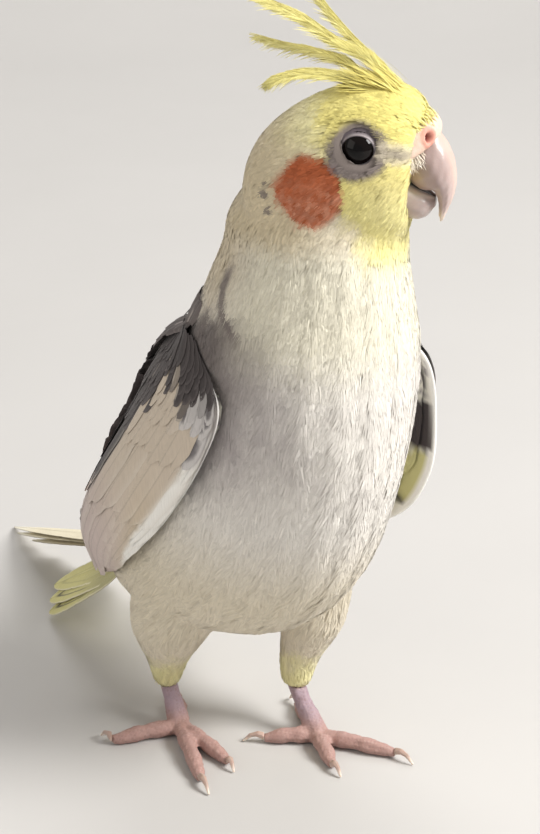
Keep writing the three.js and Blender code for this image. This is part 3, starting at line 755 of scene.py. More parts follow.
# The bill: two shells of horn. The upper one hooks over the lower one, and has a worn tip with a
# chip out of it, a paler ridge along the top that is partly painted highlight, painted shade low
# along the middle of its sides, and faint upright growth lines on its sides.
CULMEN = [(10, 3.0), (13.6, 1.9), (16.4, -2.3), (17.4, -6.9), (17.1, -10.5), (16.1, -13.3), (15.0, -15.9)]
TOMIUM = [(6.7, -6.1), (8.8, -8.4), (11.1, -9.7), (12.9, -9.6), (13.8, -10.9), (14.2, -13.1), (14.2, -16.1)]
BILL_HALF = [(0, 2.8), (0.1, 3.8), (0.24, 4.8), (0.4, 4.7), (0.6, 3.6), (0.8, 2.2), (0.92, 1.3), (1, 0.5)]
GONYS_TOP = [(6, -6.5), (9.1, -8.5), (11.5, -9.7), (13.4, -10.9)]
GONYS = [(6.5, -14.1), (9.1, -15.6), (11.7, -15.2), (13.5, -13.1)]
GONYS_HALF = [(0, 4.9), (0.35, 4.6), (0.7, 3.6), (1, 1.6)]


def curve(points, t):
    """A smooth line through points, one set for all or one for each t, carried straight on past its ends."""
    points = np.asarray(points, float)
    if points.ndim == 2:
        points = np.broadcast_to(points, (len(t),) + points.shape)
    count = points.shape[1]
    longer = np.concatenate([2 * points[:, :1] - points[:, 1:2], points,
                             2 * points[:, -1:] - points[:, -2:-1]], 1)
    at = np.asarray(t) * (count - 1)
    first = np.clip(np.floor(at), 0, count - 2).astype(int)
    w = np.clip(at - first, 0, 1)[:, None]
    rest = (at - first)[:, None] - w
    rows = np.arange(len(at))
    a, b, c, d = (longer[rows, first + i] for i in range(4))
    spot = 0.5 * (2 * b + (c - a) * w + (2 * a - 5 * b + 4 * c - d) * w ** 2 + (3 * b - a - 3 * c + d) * w ** 3)
    way = 0.5 * ((c - a) + 2 * (2 * a - 5 * b + 4 * c - d) * w + 3 * (3 * b - a - 3 * c + d) * w ** 2)
    return spot + way * rest


def graph(pairs, t):
    """A smooth reading between pairs of station and value."""
    x, y = np.array(pairs, float).T
    slope = np.gradient(y, x)
    i = np.clip(np.searchsorted(x, t) - 1, 0, len(x) - 2)
    h = x[i + 1] - x[i]
    w = (t - x[i]) / h
    return ((1 + 2 * w) * (1 - w) ** 2 * y[i] + w * (1 - w) ** 2 * h * slope[i]
            + w ** 2 * (3 - 2 * w) * y[i + 1] + w ** 2 * (w - 1) * h * slope[i + 1])


def shell(top, bottom, half, rows, columns, fullness=0.9):
    """Rings of a horn shell between two rails of the head's middle plane, with its share and turn."""
    t = np.linspace(0, 1, rows)
    upper, lower = curve(top, t), curve(bottom, t)
    turn = np.linspace(0, 2 * math.pi, columns, endpoint=False)
    share = (1 + np.cos(turn)) / 2
    line = lower[:, None] + (upper - lower)[:, None] * share[None, :, None]
    side = graph(half, t)[:, None] * np.sign(np.sin(turn)) * np.abs(np.sin(turn)) ** fullness
    return t[:, None], turn[None], line[..., 0], side, line[..., 1]


def closed(spots, rows, columns, reverse=False):
    """Faces of rings of points with a cap at each end."""
    corners, sizes = grid_faces(rows, columns)
    caps = [np.arange(columns)[::-1], (rows - 1) * columns + np.arange(columns)]
    corners = np.concatenate([corners] + caps)
    return corners, np.concatenate([sizes, [columns, columns]])


def bill():
    rows, columns = 90, 84
    t, turn, forward, side, up = shell(CULMEN, TOMIUM, BILL_HALF, rows, columns)
    ridge = np.exp(-(np.minimum(turn, 2 * math.pi - turn) / 0.55) ** 4)
    spots = from_head(forward, side, up)
    flat = spots.reshape(-1, 3)
    growth = 0.05 * np.sin(9 * turn + 1.6 * np.sin(7 * t)) * (1 - ridge) + 0.03 * np.sin(60 * t + 3 * np.sin(3 * turn))
    middle = spots.mean(1, keepdims=True)
    spots = spots + unit(spots - middle) * (growth * rising(1 - t, 0.0, 0.1))[..., None]
    chip = rising(t, 0.93, 0.985) * rising(np.cos(turn), -0.2, -0.7)
    spots = spots + chip[..., None] * (0.45 * HEAD_UP + 0.2 * HEAD_FORWARD)
    base = np.tile(pigment(186, 165, 160), (rows * columns, 1))
    fine = ripple(flat * np.array([1, 1, 0.4]), 2.2)
    # Painted shade low along the middle of each side of the upper bill.
    base = painted(base, pigment(150, 127, 126), (0.45 * np.exp(-((t - 0.42) / 0.16) ** 2) * (1 - ridge)
                                                 * rising(np.cos(turn) * -1, -0.9, 0.4)).ravel() * (1 + 0.4 * fine))
    # The ridge along the top: its own paler horn, and partly painted highlight where the light falls on the top.
    base = painted(base, pigment(214, 188, 176), 0.9 * ridge.repeat(rows, 0).ravel())
    base = painted(base, pigment(232, 214, 196), (0.75 * rising(t, 0.8, 0.97) * np.ones_like(turn)).ravel())
    base = painted(base, pigment(200, 160, 150), (0.4 * (1 - rising(t, 0.02, 0.2)) * np.ones_like(turn)).ravel())
    base = base * (1 + 0.05 * fine[:, None])
    corners, sizes = closed(spots, rows, columns)
    make_piece("bill_hook", spots.reshape(-1, 3), corners, sizes, horn_material, ("bill_upper",),
               tint=base, lay=spots.reshape(-1, 3), uv=grid_uv(rows, columns))

    rows, columns = 50, 72
    t, turn, forward, side, up = shell(GONYS_TOP, GONYS, GONYS_HALF, rows, columns)
    dish = rising(np.cos(turn), 0.9, 1.0) * 0.5
    spots = from_head(forward, side, up - dish)
    rim = np.exp(-((np.cos(turn) - 0.72) / 0.16) ** 2) * np.ones_like(t)
    base = painted(np.tile(pigment(182, 165, 160), (rows * columns, 1)), pigment(232, 220, 212), 0.9 * rim.ravel())
    base = painted(base, pigment(60, 40, 40), (rising(np.cos(turn), 0.93, 0.99) * np.ones_like(t)).ravel())
    base = base * (1 + 0.06 * ripple(spots.reshape(-1, 3), 2.0)[:, None])
    corners, sizes = closed(spots, rows, columns)
    make_piece("bill_scoop", spots.reshape(-1, 3), corners, sizes, horn_material, ("bill_lower",),
               tint=base, lay=spots.reshape(-1, 3), uv=grid_uv(rows, columns))


horn_material = plain_material("bill_horn_stuff", 0.36, bump_scale=1.6, bump=0.25, speckle=0.08,
                               coat=0.15, subsurface=0.15)[0]
bill()

# The cere: a swelling of bare pink skin over the root of the bill, with a dark oval nostril in each
# side and short white bristles below it.
NOSTRIL = (12.6, 4.3, 1.5)
NOSTRIL_SIZE = (0.85, 1.05)


def cere():
    rows, columns = 110, 90
    t = (1 - np.cos(np.linspace(0, math.pi, rows))) / 2
    turn = np.linspace(0, 2 * math.pi, columns, endpoint=False)[None]
    side = (2 * t - 1)[:, None]
    near = np.sqrt(np.maximum(0, 1 - side ** 2))
    forward = 11.1 - 3.4 * side ** 2 + 3.2 * near * np.cos(turn)
    up = 2.5 - 4.6 * side ** 2 + 3.4 * near * np.sin(turn)
    right = 7.6 * side + np.zeros_like(forward)
    spots = from_head(forward, right, up)
    middle = from_head(11.1 - 3.4 * side ** 2, 7.6 * side * 0.8, 2.5 - 4.6 * side ** 2)
    outward = unit(spots - middle)
    gap = np.sqrt(((forward - NOSTRIL[0]) / NOSTRIL_SIZE[0]) ** 2 + ((np.abs(right) - NOSTRIL[1]) / NOSTRIL_SIZE[0]) ** 2
                  + ((up - NOSTRIL[2]) / NOSTRIL_SIZE[1]) ** 2)
    pit = 1 - rising(gap, 0.7, 1.15)
    rim = np.exp(-((gap - 1.6) / 0.5) ** 2)
    spots = spots + outward * (0.22 * rim - 1.3 * pit + 0.05 * ripple(spots.reshape(-1, 3), 1.3).reshape(gap.shape))[..., None]
    tint = painted(np.tile(pigment(232, 204, 186), (rows * columns, 1)), pigment(228, 164, 146), (1 - rising(gap, 1.6, 2.5)).ravel())
    tint = painted(tint, pigment(120, 22, 18), (1 - rising(gap, 0.75, 1.15)).ravel())
    # Painted shade: the near-black core of each nostril stands for the depth of its opening.
    tint = painted(tint, pigment(30, 6, 6), (1 - rising(gap, 0.4, 0.8)).ravel())
    corners, sizes = grid_faces(rows, columns)
    make_piece("cere_saddle", spots.reshape(-1, 3), corners, sizes, cere_material, ("cere",),
               tint=tint, lay=spots.reshape(-1, 3), uv=grid_uv(rows, columns))


cere_material = plain_material("cere_stuff", 0.55, bump_scale=2.5, bump=0.35, speckle=0.1, subsurface=0.2)[0]
cere()


def strands(name, starts, ways, length, width, colour, material, nodes=(), bend=None, rows=5, uv=None, wide=None):
    """Loose tapered barbs through the air, each bending towards bend as it goes."""
    count = len(starts)
    length = np.broadcast_to(np.asarray(length, float), (count,))
    width = np.broadcast_to(np.asarray(width, float), (count,))
    bend = np.zeros((count, 3)) if bend is None else np.broadcast_to(bend, (count, 3))
    here = starts.copy()
    way = unit(ways)
    lines = [here]
    for row in range(rows):
        way = unit(way + bend / rows)
        here = here + way * (length / rows)[:, None]
        lines.append(here)
    lines = np.array(lines).transpose(1, 0, 2)
    wide = unit(np.cross(ways, chance.normal(size=(count, 3)))) if wide is None else wide
    facing = unit(np.cross(wide, ways))
    turned = np.where((facing @ (HEAD_RIGHT + HEAD_UP))[:, None] < 0, -1, 1)
    wide, facing = wide * turned, facing * turned
    spots = np.empty((count, 2 * rows + 1, 3))
    for row in range(rows):
        half = wide * (width * (0.6, 1.0, 0.95, 0.75, 0.5)[min(row, 4)] / 2)[:, None]
        spots[:, 2 * row] = lines[:, row] - half
        spots[:, 2 * row + 1] = lines[:, row] + half
    spots[:, 2 * rows] = lines[:, rows]
    pattern = np.array([c for r in range(rows - 1) for c in (2 * r, 2 * r + 1, 2 * r + 3, 2 * r + 2)]
                       + [2 * rows - 2, 2 * rows - 1, 2 * rows])
    per = 2 * rows + 1
    corners = (np.arange(count)[:, None] * per + pattern[None]).ravel()
    sizes = np.tile(np.array([4] * (rows - 1) + [3]), count)
    tint = colour(spots.reshape(-1, 3)) if callable(colour) else np.repeat(np.broadcast_to(colour, (count, 3)), per, 0)
    tint = tint * (1 + 0.06 * np.repeat(chance.normal(size=(count, 1)), per, 0))
    share = np.tile(np.concatenate([np.repeat(np.arange(rows), 2), [rows]]) / rows, count)
    lay = np.stack([share, np.repeat(chance.uniform(0, 50, count), per), np.zeros(count * per)], -1)
    soft = np.repeat(unit(facing + 0.5 * HEAD_UP + 0.3 * HEAD_FORWARD), per, 0)
    if uv is None:
        uv = np.stack([np.linspace(0.02, 0.96, count), np.full(count, 0.5)], -1)
    patch = np.repeat(uv, per, 0) + 0.003 * np.stack([0.3 * (np.arange(count * per) % 2), share], -1)
    return make_piece(name, spots.reshape(-1, 3), corners, sizes, material, nodes,
                      tint=tint, lay=lay, uv=patch, soft=soft)


def cere_feathers():
    """Small feathers of the forehead, which come down over the top and the back of the cere."""
    count = 3200
    side = chance.uniform(-0.95, 0.95, count)
    turn = chance.uniform(0.35, 3.1, count)
    near = np.sqrt(1 - side ** 2)
    forward = 11.1 - 3.4 * side ** 2 + 3.2 * near * np.cos(turn)
    up = 2.5 - 4.6 * side ** 2 + 3.4 * near * np.sin(turn)
    right = 7.6 * side
    away = np.sqrt((forward - NOSTRIL[0]) ** 2 + (np.abs(right) - NOSTRIL[1]) ** 2 + (up - NOSTRIL[2]) ** 2)
    keep = (away > 1.9) & ((up > 2.4) | (forward < NOSTRIL[0] - 1.4)) & (up > 0.2)
    forward, right, up, side, turn = (part[keep] for part in (forward, right, up, side, turn))
    count = len(forward)
    outward = (np.outer(np.cos(turn), HEAD_FORWARD) + np.outer(np.sin(turn), HEAD_UP) + np.outer(side, HEAD_RIGHT))
    lie = -0.9 * HEAD_FORWARD + np.outer(np.where(up > 2.4, 0.5, -0.5), HEAD_UP)
    ways = lie + 0.45 * unit(outward) + 0.22 * chance.normal(size=(count, 3))
    tint = painted(np.tile(LEMON, (count, 1)), PALE_LEMON, chance.uniform(0, 1, count))
    strands("cere_feathers", from_head(forward, right, up) - 0.1 * unit(outward), ways, chance.uniform(1.0, 2.2, count), 0.2,
            tint, coat_material, bend=-0.5 * unit(outward), rows=4, wide=unit(np.cross(ways, outward)))


cere_feathers()


def bristles():
    count = 1300
    turn = chance.uniform(-1.35, 1.35, count)
    right = 6.3 * np.sin(turn) + 0.3 * chance.normal(size=count)
    forward = 12.2 - 4.6 * (1 - np.cos(turn)) + 0.5 * chance.normal(size=count)
    up = -1.2 - 2.1 * np.sin(turn) ** 2 + 0.8 * chance.normal(size=count)
    starts = from_head(forward - 1.1, right, up + 0.5)
    ways = 0.55 * HEAD_FORWARD + np.outer(0.55 * np.sin(turn), HEAD_RIGHT) - 0.75 * HEAD_UP + 0.3 * chance.normal(size=(count, 3))
    strands("bristles", starts, ways, chance.uniform(1.4, 3.0, count), 0.13, pigment(238, 230, 216),
            coat_material, bend=np.array([0, 0, -0.4]), rows=4)


bristles()

# The crest: long narrow feathers that spring from the forehead and curve back over the crown. Each
# has a stiff dense part along its shaft and loose barbs that hang from it towards the tip.
PLUMES = {
    # node: (line as forward and up, half width, to the right, feathers, looseness)
    "crest_long": ([(5.3, 8.5), (1.5, 13.9), (-6.5, 18.5), (-12.3, 22.1), (-20, 25.4), (-28.5, 29.5)], 1.5, 0.6, 5, 0.3),
    "crest_front": ([(6.9, 8.3), (3.3, 12.3), (-2.3, 17.3), (-7.0, 22.1), (-10.7, 26.9), (-13.5, 32.1)], 0.9, -2.4, 3, 0.34),
    "crest_low": ([(4.5, 8.3), (-0.5, 11.1), (-6, 12.3), (-11.5, 12.4), (-16.3, 11.3), (-19.5, 9.5)], 1.5, 3.2, 4, 0.3),
    "crest_wisp": ([(1.5, 8.9), (-3.5, 13.1), (-10, 15.5), (-16.5, 16.7), (-23, 18.1)], 0.7, -2.0, 3, 0.5),
}


def crest(node, line, half, right, feathers, looseness):
    starts, ways, lengths, wides, tints, bends = [], [], [], [], [], []
    tone = pigment(240, 232, 150)
    for feather in range(feathers):
        shift = (feather / max(1, feathers - 1) - 0.5) * 1.1
        count = 800
        share = np.sort(chance.uniform(0.0, 1.0 - 0.10 * abs(shift), count)) * (1 - 0.12 * feather / feathers)
        spot = curve(np.array(line, float), share)
        step = curve(np.array(line, float), share + 0.01) - spot
        way = unit(step)
        up = np.stack([way[:, 1], -way[:, 0]], 1) * np.sign(way[:, :1] * -1)
        side = np.where(np.arange(count) % 2 == 0, 1.0, -1.0)
        rise = -half * 0.5 * shift * np.minimum(1, 3 * share) + half * 0.2 * chance.normal(size=count) * 0.3
        forward = spot[:, 0] + up[:, 0] * rise
        high = spot[:, 1] + up[:, 1] * rise
        out = right * (1 - 0.35 * share) + shift * (0.9 - 0.3 * share)
        starts.append(from_head(forward, out, high))
        stray = chance.uniform(size=count) < 0.10 * share + 0.05
        spread = looseness * (0.25 + 0.6 * share) * chance.uniform(0.3, 1.0, count) * np.where(stray, 2.6, 1.0)
        hang = -up * np.where(side > 0, 0.8, 0.16)[:, None] * spread[:, None]
        flat = way + hang
        ways.append(flat[:, :1] * HEAD_FORWARD + flat[:, 1:] * HEAD_UP + np.outer(0.4 * spread * side, HEAD_RIGHT))
        long = np.where(stray, 1.25, 1.0) * (0.8 + 0.12 * half)
        lengths.append((2.6 + 4.4 * chance.uniform(0.5, 1, count)) * (1 - 0.62 * share) * long)
        across = up[:, :1] * HEAD_FORWARD + up[:, 1:] * HEAD_UP
        wides.append(unit(across + 0.5 * chance.normal(size=(count, 3))))
        shade = 0.5 + 0.5 * np.clip(-shift, -1, 1)
        deep = painted(np.tile(tone, (count, 1)), pigment(214, 202, 118), np.full(count, 0.4 * shade))
        tints.append(painted(deep, pigment(240, 234, 188), 0.6 * spread / 0.85))
        bends.append(-0.25 * across * np.where(side > 0, 1, -0.2)[:, None])
    per_tint = np.concatenate(tints)
    count = len(per_tint)
    uv = np.stack([np.linspace(0.02, 0.97, count), np.tile(np.linspace(0.03, 0.95, 40), count // 40 + 1)[:count]], -1)
    strands(f"plume_{node[6:]}", np.concatenate(starts), np.concatenate(ways), np.concatenate(lengths),
            0.17 * chance.uniform(0.7, 1.3, count), per_tint, crest_material, (node,),
            bend=np.concatenate(bends), wide=np.concatenate(wides), uv=uv)


def crown_tuft():
    """Shorter feathers of the forehead, swept back into the foot of the crest."""
    roots, up = scattered(outline, outline_normals, 0.55, (head_f > -3) & (head_f < 7.5) & (np.abs(head_r) < 4.2) & (head_u > 7.5))
    roots, up = np.repeat(roots, 4, 0), np.repeat(up, 4, 0)
    count = len(roots)
    roots = roots + 0.35 * chance.normal(size=(count, 3)) - 0.4 * up
    forward, right, high = head_place(roots)
    ways = -0.9 * HEAD_FORWARD + (0.38 + 0.05 * forward)[:, None] * HEAD_UP + 0.16 * chance.normal(size=(count, 3))
    length = chance.uniform(4.0, 8.5, count) * rising(forward, -6, 3)
    tint = painted(np.tile(pigment(240, 230, 140), (count, 1)), pigment(216, 202, 112), chance.uniform(0, 0.7, count))
    strands("crown_tuft", roots, ways, length + 1.0, 0.2, tint, crest_material,
            bend=np.array([0, 0, -0.35]), wide=unit(np.cross(ways, up)), uv=body_map(roots))


crest_material = plumage("crest_barb", roughness=0.75)
crown_tuft()
for crest_node, (crest_line, crest_half, crest_right, crest_feathers, crest_loose) in PLUMES.items():
    crest(crest_node, crest_line, crest_half, crest_right, crest_feathers, crest_loose)

# The wings: bare folded limbs under rows of vanes. Each vane has a shaft and flat barbed sides, and
# overlaps the next. The near wing lies close, and the far one is held a little off the body.
MIDLINE = (-2.4, -38.5, 0.0)
WING = {
    "edge": [(22.4, -22, 101), (24.8, -31, 94), (25, -24, 80), (25, -9, 62), (24.4, 8, 47), (21, 21, 37.5)],
    "middle": [(22, -14, 103.5), (26.6, -17.5, 94.5), (28, -7, 80), (28.4, 8, 62.5), (26.6, 21, 46.5), (21.6, 27, 35.5)],
    "bulge": [(18.4, -6, 103), (22.2, -3, 95), (24.2, 6.5, 80), (25.4, 20, 62.5), (24.2, 30, 48), (20.6, 32, 36.5)],
    "trail": [(12.6, 1.5, 102.5), (14, 6.5, 96), (15.4, 15.5, 81.5), (16, 28, 64), (16.4, 37.5, 50), (17.8, 36.8, 40)],
}
HELD_OUT = {
    "edge": [(23, -22, 101), (26.4, -30.5, 95), (32.6, -25.5, 80), (34.2, -21.5, 64), (31.5, -12, 51), (25, 15, 38)],
    "middle": [(22.4, -14, 103.5), (27.8, -17, 95), (31.5, -8, 80), (32, 1, 63), (29.5, 13, 47.5), (23.5, 25, 35.5)],
}


class Wing:
    """The outer face of one wing, read by shares down it (0 shoulder, 1 tip) and across it (0 front edge)."""

    def __init__(self, side, rails):
        self.side = side
        self.rails = [np.array(points) * (side, 1, 1) + MIDLINE for points in rails.values()]

    def spot(self, down, across):
        shape = np.shape(down)
        down, across = np.ravel(down), np.ravel(np.broadcast_to(across, shape))
        lines = np.stack([curve(points, down) for points in self.rails], 1)
        return curve(lines, across).reshape(shape + (3,))

    def frame(self, down, across):
        here = self.spot(down, across)
        by_down = (self.spot(down + 0.01, across) - here) / 0.01
        by_across = (self.spot(down, across + 0.01) - here) / 0.01
        return here, by_down, by_across, unit(np.cross(by_down, by_across)) * self.side

    def shifted(self, down, across, move):
        """The shares after a move over the face, given in millimetres."""
        here, a, b, up = self.frame(down, across)
        aa, bb, ab = (a * a).sum(-1), (b * b).sum(-1), (a * b).sum(-1)
        am, bm = (a * move).sum(-1), (b * move).sum(-1)
        whole = np.maximum(aa * bb - ab ** 2, 1e-6)
        return down + (am * bb - bm * ab) / whole, across + (bm * aa - am * ab) / whole


def feather_outline(u, pointed):
    """Share of its half width that a vane has at share u of its length."""
    root = 0.35 + 0.65 * rising(u, -0.05, 0.3)
    round_end = np.sqrt(np.maximum(0, 1 - np.clip((u - 0.72) / 0.28, 0, 1) ** 2))
    point_end = np.maximum(0, 1 - np.clip((u - 0.35) / 0.65, 0, 1) ** 1.6)
    return root * (round_end * (1 - pointed) + point_end * pointed)


def vane_rows(count=13):
    return np.sin(np.linspace(0, math.pi / 2, count)) * 0.6 + np.linspace(0, 1, count) * 0.4


def vane_faces(feathers, rows, columns):
    corners, sizes = grid_faces(rows, columns, ring=False)
    per = rows * columns
    return (np.arange(feathers)[:, None] * per + corners[None]).ravel(), np.tile(sizes, feathers)


def wing_vanes(name, wing, roots, tips, width, pointed, lift, colour, material, nodes=(), face=1, roll=0.12, base=0.1):
    """Vanes that follow the face of a wing from their roots to their tips."""
    count = len(roots)
    rows, columns = 13, 9
    u = vane_rows(rows)
    width = np.broadcast_to(np.asarray(width, float), (count,))
    pointed = np.broadcast_to(np.asarray(pointed, float), (count,))
    down = roots[:, :1] + (tips[:, :1] - roots[:, :1]) * u
    across = roots[:, 1:] + (tips[:, 1:] - roots[:, 1:]) * u
    here, by_down, by_across, up = wing.frame(down, across)
    step = tips - roots
    way = unit(by_down * step[:, 0, None, None] + by_across * step[:, 1, None, None])
    side = np.cross(up, way)
    fringe = 1 + 0.05 * chance.normal(size=(count, rows))
    half = width[:, None] / 2 * np.array([feather_outline(u, p) for p in pointed]) * fringe
    c = np.linspace(-1, 1, columns)
    move = side[:, :, None] * (half[..., None] * c)[..., None]
    wide = np.broadcast_to(down[..., None], half.shape + (columns,))
    d2, a2 = wing.shifted(wide, np.broadcast_to(across[..., None], wide.shape), move)
    spots, _, _, ups = wing.frame(d2, a2)
    high = base + lift * u[None, :, None] + roll * c - 0.10 * c ** 2 + 0.07 * np.exp(-(c / 0.12) ** 2)
    high = high + 0.12 * chance.uniform(-1, 1, (count, 1, 1))
    spots = spots + ups * (face * high)[..., None]
    if face < 0:
        spots = spots - ups * 1.65 * np.interp(down, [0, 0.12, 0.6, 1], [0.4, 1, 0.9, 0.4])[..., None, None]
    tint = colour(spots.reshape(-1, 3), np.repeat(np.arange(count), rows * columns),
                  np.broadcast_to(u[None, :, None], wide.shape).ravel(), np.broadcast_to(c, wide.shape).ravel())
    length = np.linalg.norm(np.diff(here, axis=1), axis=-1).sum(1)
    lay = np.stack([np.broadcast_to(u[None, :, None], wide.shape) * length[:, None, None],
                    c * half[..., None], np.broadcast_to(np.arange(count)[:, None, None] * 3.1, wide.shape)], -1)
    corners, sizes = vane_faces(count, rows, columns)
    corners = turned_over(corners) if face > 0 else corners
    v0, u0 = 0.04 + 0.85 * down[:, 0], 0.04 + 0.85 * across[:, 0]
    uv = np.stack([np.clip(u0, 0.02, 0.97)[:, None, None] + 0.004 * c + 0 * wide,
                   np.clip(v0, 0.02, 0.97)[:, None, None] + 0.008 * u[None, :, None] + 0 * wide], -1).reshape(-1, 2)
    return make_piece(name, spots.reshape(-1, 3), corners, sizes, material, nodes,
                      tint=tint, lay=lay.reshape(-1, 3), uv=uv)


def vane_material(name, roughness=0.7):
    """A flat feather: barbs that leave the shaft at a slant, and the shaft itself."""
    material, tree, shader, add = node_material(name)
    tint = add("ShaderNodeAttribute", attribute_name="tint")
    lay = add("ShaderNodeAttribute", attribute_name="lay")
    split = add("ShaderNodeSeparateXYZ")
    tree.links.new(lay.outputs["Vector"], split.inputs["Vector"])
    out = add("ShaderNodeMath", operation="ABSOLUTE")
    tree.links.new(split.outputs["Y"], out.inputs[0])

    def math_node(operation, a, b=None, c=None):
        node = add("ShaderNodeMath", operation=operation)
        for i, value in enumerate((a, b, c)):
            if value is None:
                continue
            if isinstance(value, (int, float)):
                node.inputs[i].default_value = value
            else:
                tree.links.new(value, node.inputs[i])
        return node.outputs[0]

    slant = math_node("MULTIPLY_ADD", out.outputs[0], -1.3, split.outputs["X"])
    slant = math_node("ADD", slant, split.outputs["Z"])
    wave = math_node("SINE", math_node("MULTIPLY", slant, 15.0))
    patch = add("ShaderNodeCombineXYZ")
    tree.links.new(math_node("MULTIPLY", slant, 2.6), patch.inputs["X"])
    tree.links.new(math_node("MULTIPLY", out.outputs[0], 0.35), patch.inputs["Y"])
    tree.links.new(split.outputs["Z"], patch.inputs["Z"])
    clump = add("ShaderNodeTexNoise", Scale=1.2, Detail=3.0)
    tree.links.new(patch.outputs["Vector"], clump.inputs["Vector"])
    height = math_node("MULTIPLY_ADD", wave, 0.12, clump.outputs["Fac"])
    tone = add("ShaderNodeMapRange")
    tone.inputs["From Min"].default_value = 0.2
    tone.inputs["From Max"].default_value = 0.8
    tone.inputs["To Min"].default_value = 0.86
    tone.inputs["To Max"].default_value = 1.04
    tree.links.new(height, tone.inputs["Value"])
    shaft = math_node("SUBTRACT", 1.0, math_node("MULTIPLY", math_node("LESS_THAN", out.outputs[0], 0.16), 0.12))
    factor = math_node("MULTIPLY", tone.outputs["Result"], shaft)
    mix = add("ShaderNodeVectorMath", operation="SCALE")
    tree.links.new(tint.outputs["Color"], mix.inputs[0])
    tree.links.new(factor, mix.inputs["Scale"])
    tree.links.new(mix.outputs["Vector"], shader.inputs["Base Color"])
    bump = add("ShaderNodeBump", Strength=0.25, Distance=0.0002)
    tree.links.new(height, bump.inputs["Height"])
    tree.links.new(bump.outputs["Normal"], shader.inputs["Normal"])
    shader.inputs["Roughness"].default_value = roughness
    shader.inputs["Specular IOR Level"].default_value = 0.3
    shader.inputs["Sheen Weight"].default_value = 0.12
    return material


WING_CREAM = pigment(214, 200, 182)
WING_PINK = pigment(208, 192, 186)
wing_material = vane_material("wing_vane")


def wing_place(points):
    """How far down the folded wing a point is, and how far towards its rear edge."""
    away = points[:, 1:] - np.array([-50.5, 103.0])
    return away @ np.array([0.54, -0.84]), away @ np.array([0.84, 0.54])


def wing_colour(points):
    """The markings of a wing's outer face: dark shoulder, laced front, cream panel, white front edge."""
    s, w = wing_place(points)
    fine = ripple(points, 4.0)
    colour = painted(np.tile(WING_CREAM, (len(points), 1)), WING_PINK, rising(s, 30, 66) * rising(w, -16, -4))
    colour = painted(colour, pigment(206, 188, 160), 0.5 * rising(-w, 9, 14) * rising(s, 20, 45))
    strip = np.interp(s, [0, 5.6, 17.7, 32, 48, 54.5, 62, 70], [-22, -20.3, -19.2, -17.2, -13.8, -12.6, -12.4, -20])
    colour = painted(colour, pigment(254, 252, 246), rising(-w + 0.4 * fine, -strip - 0.7, -strip + 0.7))
    laced = rising(-w, 12.5, 15) * (1 - rising(s, 3, 9)) + rising(-w, 18, 20) * (1 - rising(s, 9, 18))
    colour = painted(colour, pigment(214, 210, 208), np.clip(laced, 0, 1))
    edge = np.interp(w, [-22, -16.9, -13.6, -8, -4.1, -2, 0, 1, 2.5], [-7, -2.3, 2.7, 2.5, 9, 12, 25, 38, 52])
    teeth = (np.sin(2.6 * w) + 0.6 * np.sin(4.3 * w + 1)) * rising(w, -12, -4)
    dark = 1 - rising(s + 0.6 * fine + 3.2 * teeth, edge - 0.8, edge + 0.8)
    return painted(colour, CHARCOAL, dark), dark


def covert_colour(centres, tip_share=0.62):
    """Each covert takes its colour as a whole from where its middle lies, with a paler rim."""
    own, dark = wing_colour(centres)
    s, w = wing_place(centres)
    spotted = chance.uniform(size=len(centres)) < 0.62
    laced = (w < -13.5) & (s < 13 - 0.3 * (w + 20)) & (dark < 0.5)

    def colour(points, who, u, c):
        tint = own[who]
        rim = rising(np.abs(c), 0.55, 0.95) + rising(u, 0.86, 0.98)
        tint = painted(tint, pigment(120, 112, 112), 0.4 * np.clip(rim, 0, 1) * (dark[who] > 0.5))
        blot = (laced & spotted)[who] * (1 - rising(np.hypot(c / 0.75, (u - 0.7) / 0.22), 0.6, 1.0))
        tint = painted(tint, pigment(92, 86, 90), 0.85 * blot)
        gleam = ((dark[who] > 0.5) & (s[who] > 1.5) & spotted[who]) * (1 - rising(np.abs(c + 0.35), 0.1, 0.35))
        gleam = gleam * rising(u, 0.35, 0.5) * (1 - rising(u, 0.8, 0.95)) * (w[who] < 0.5)
        tint = painted(tint, pigment(200, 190, 178), 0.8 * gleam)
        return tint * (1 + 0.03 * np.sin(who * 12.9898 + 4.0)[:, None])

    return colour


def panel_colour(points, who, u, c):
    tint, dark = wing_colour(points)
    tint = painted(tint, pigment(236, 228, 216), 0.35 * rising(c, 0.6, 1.0))
    return painted(tint, pigment(150, 136, 128), 0.30 * rising(-c, 0.72, 1.0))


def feather_rows(rows, jitter=0.15):
    """Roots and tips of rows of vanes: each row is down, across from and to, step, reach and turn."""
    roots, tips, widths, points = [], [], [], []
    for down, start, end, count, reach, turn, width, pointed in rows:
        across = np.linspace(start, end, count) + jitter * (end - start) / count * chance.uniform(-1, 1, count)
        first = down + 0.012 * chance.uniform(-1, 1, count)
        roots.append(np.stack([first, across], 1))
        tips.append(np.stack([first + reach * (1 + 0.06 * chance.uniform(-1, 1, count)), across + turn], 1))
        widths.append(np.full(count, width))
        points.append(np.full(count, pointed))
    return np.concatenate(roots), np.concatenate(tips), np.concatenate(widths), np.concatenate(points)


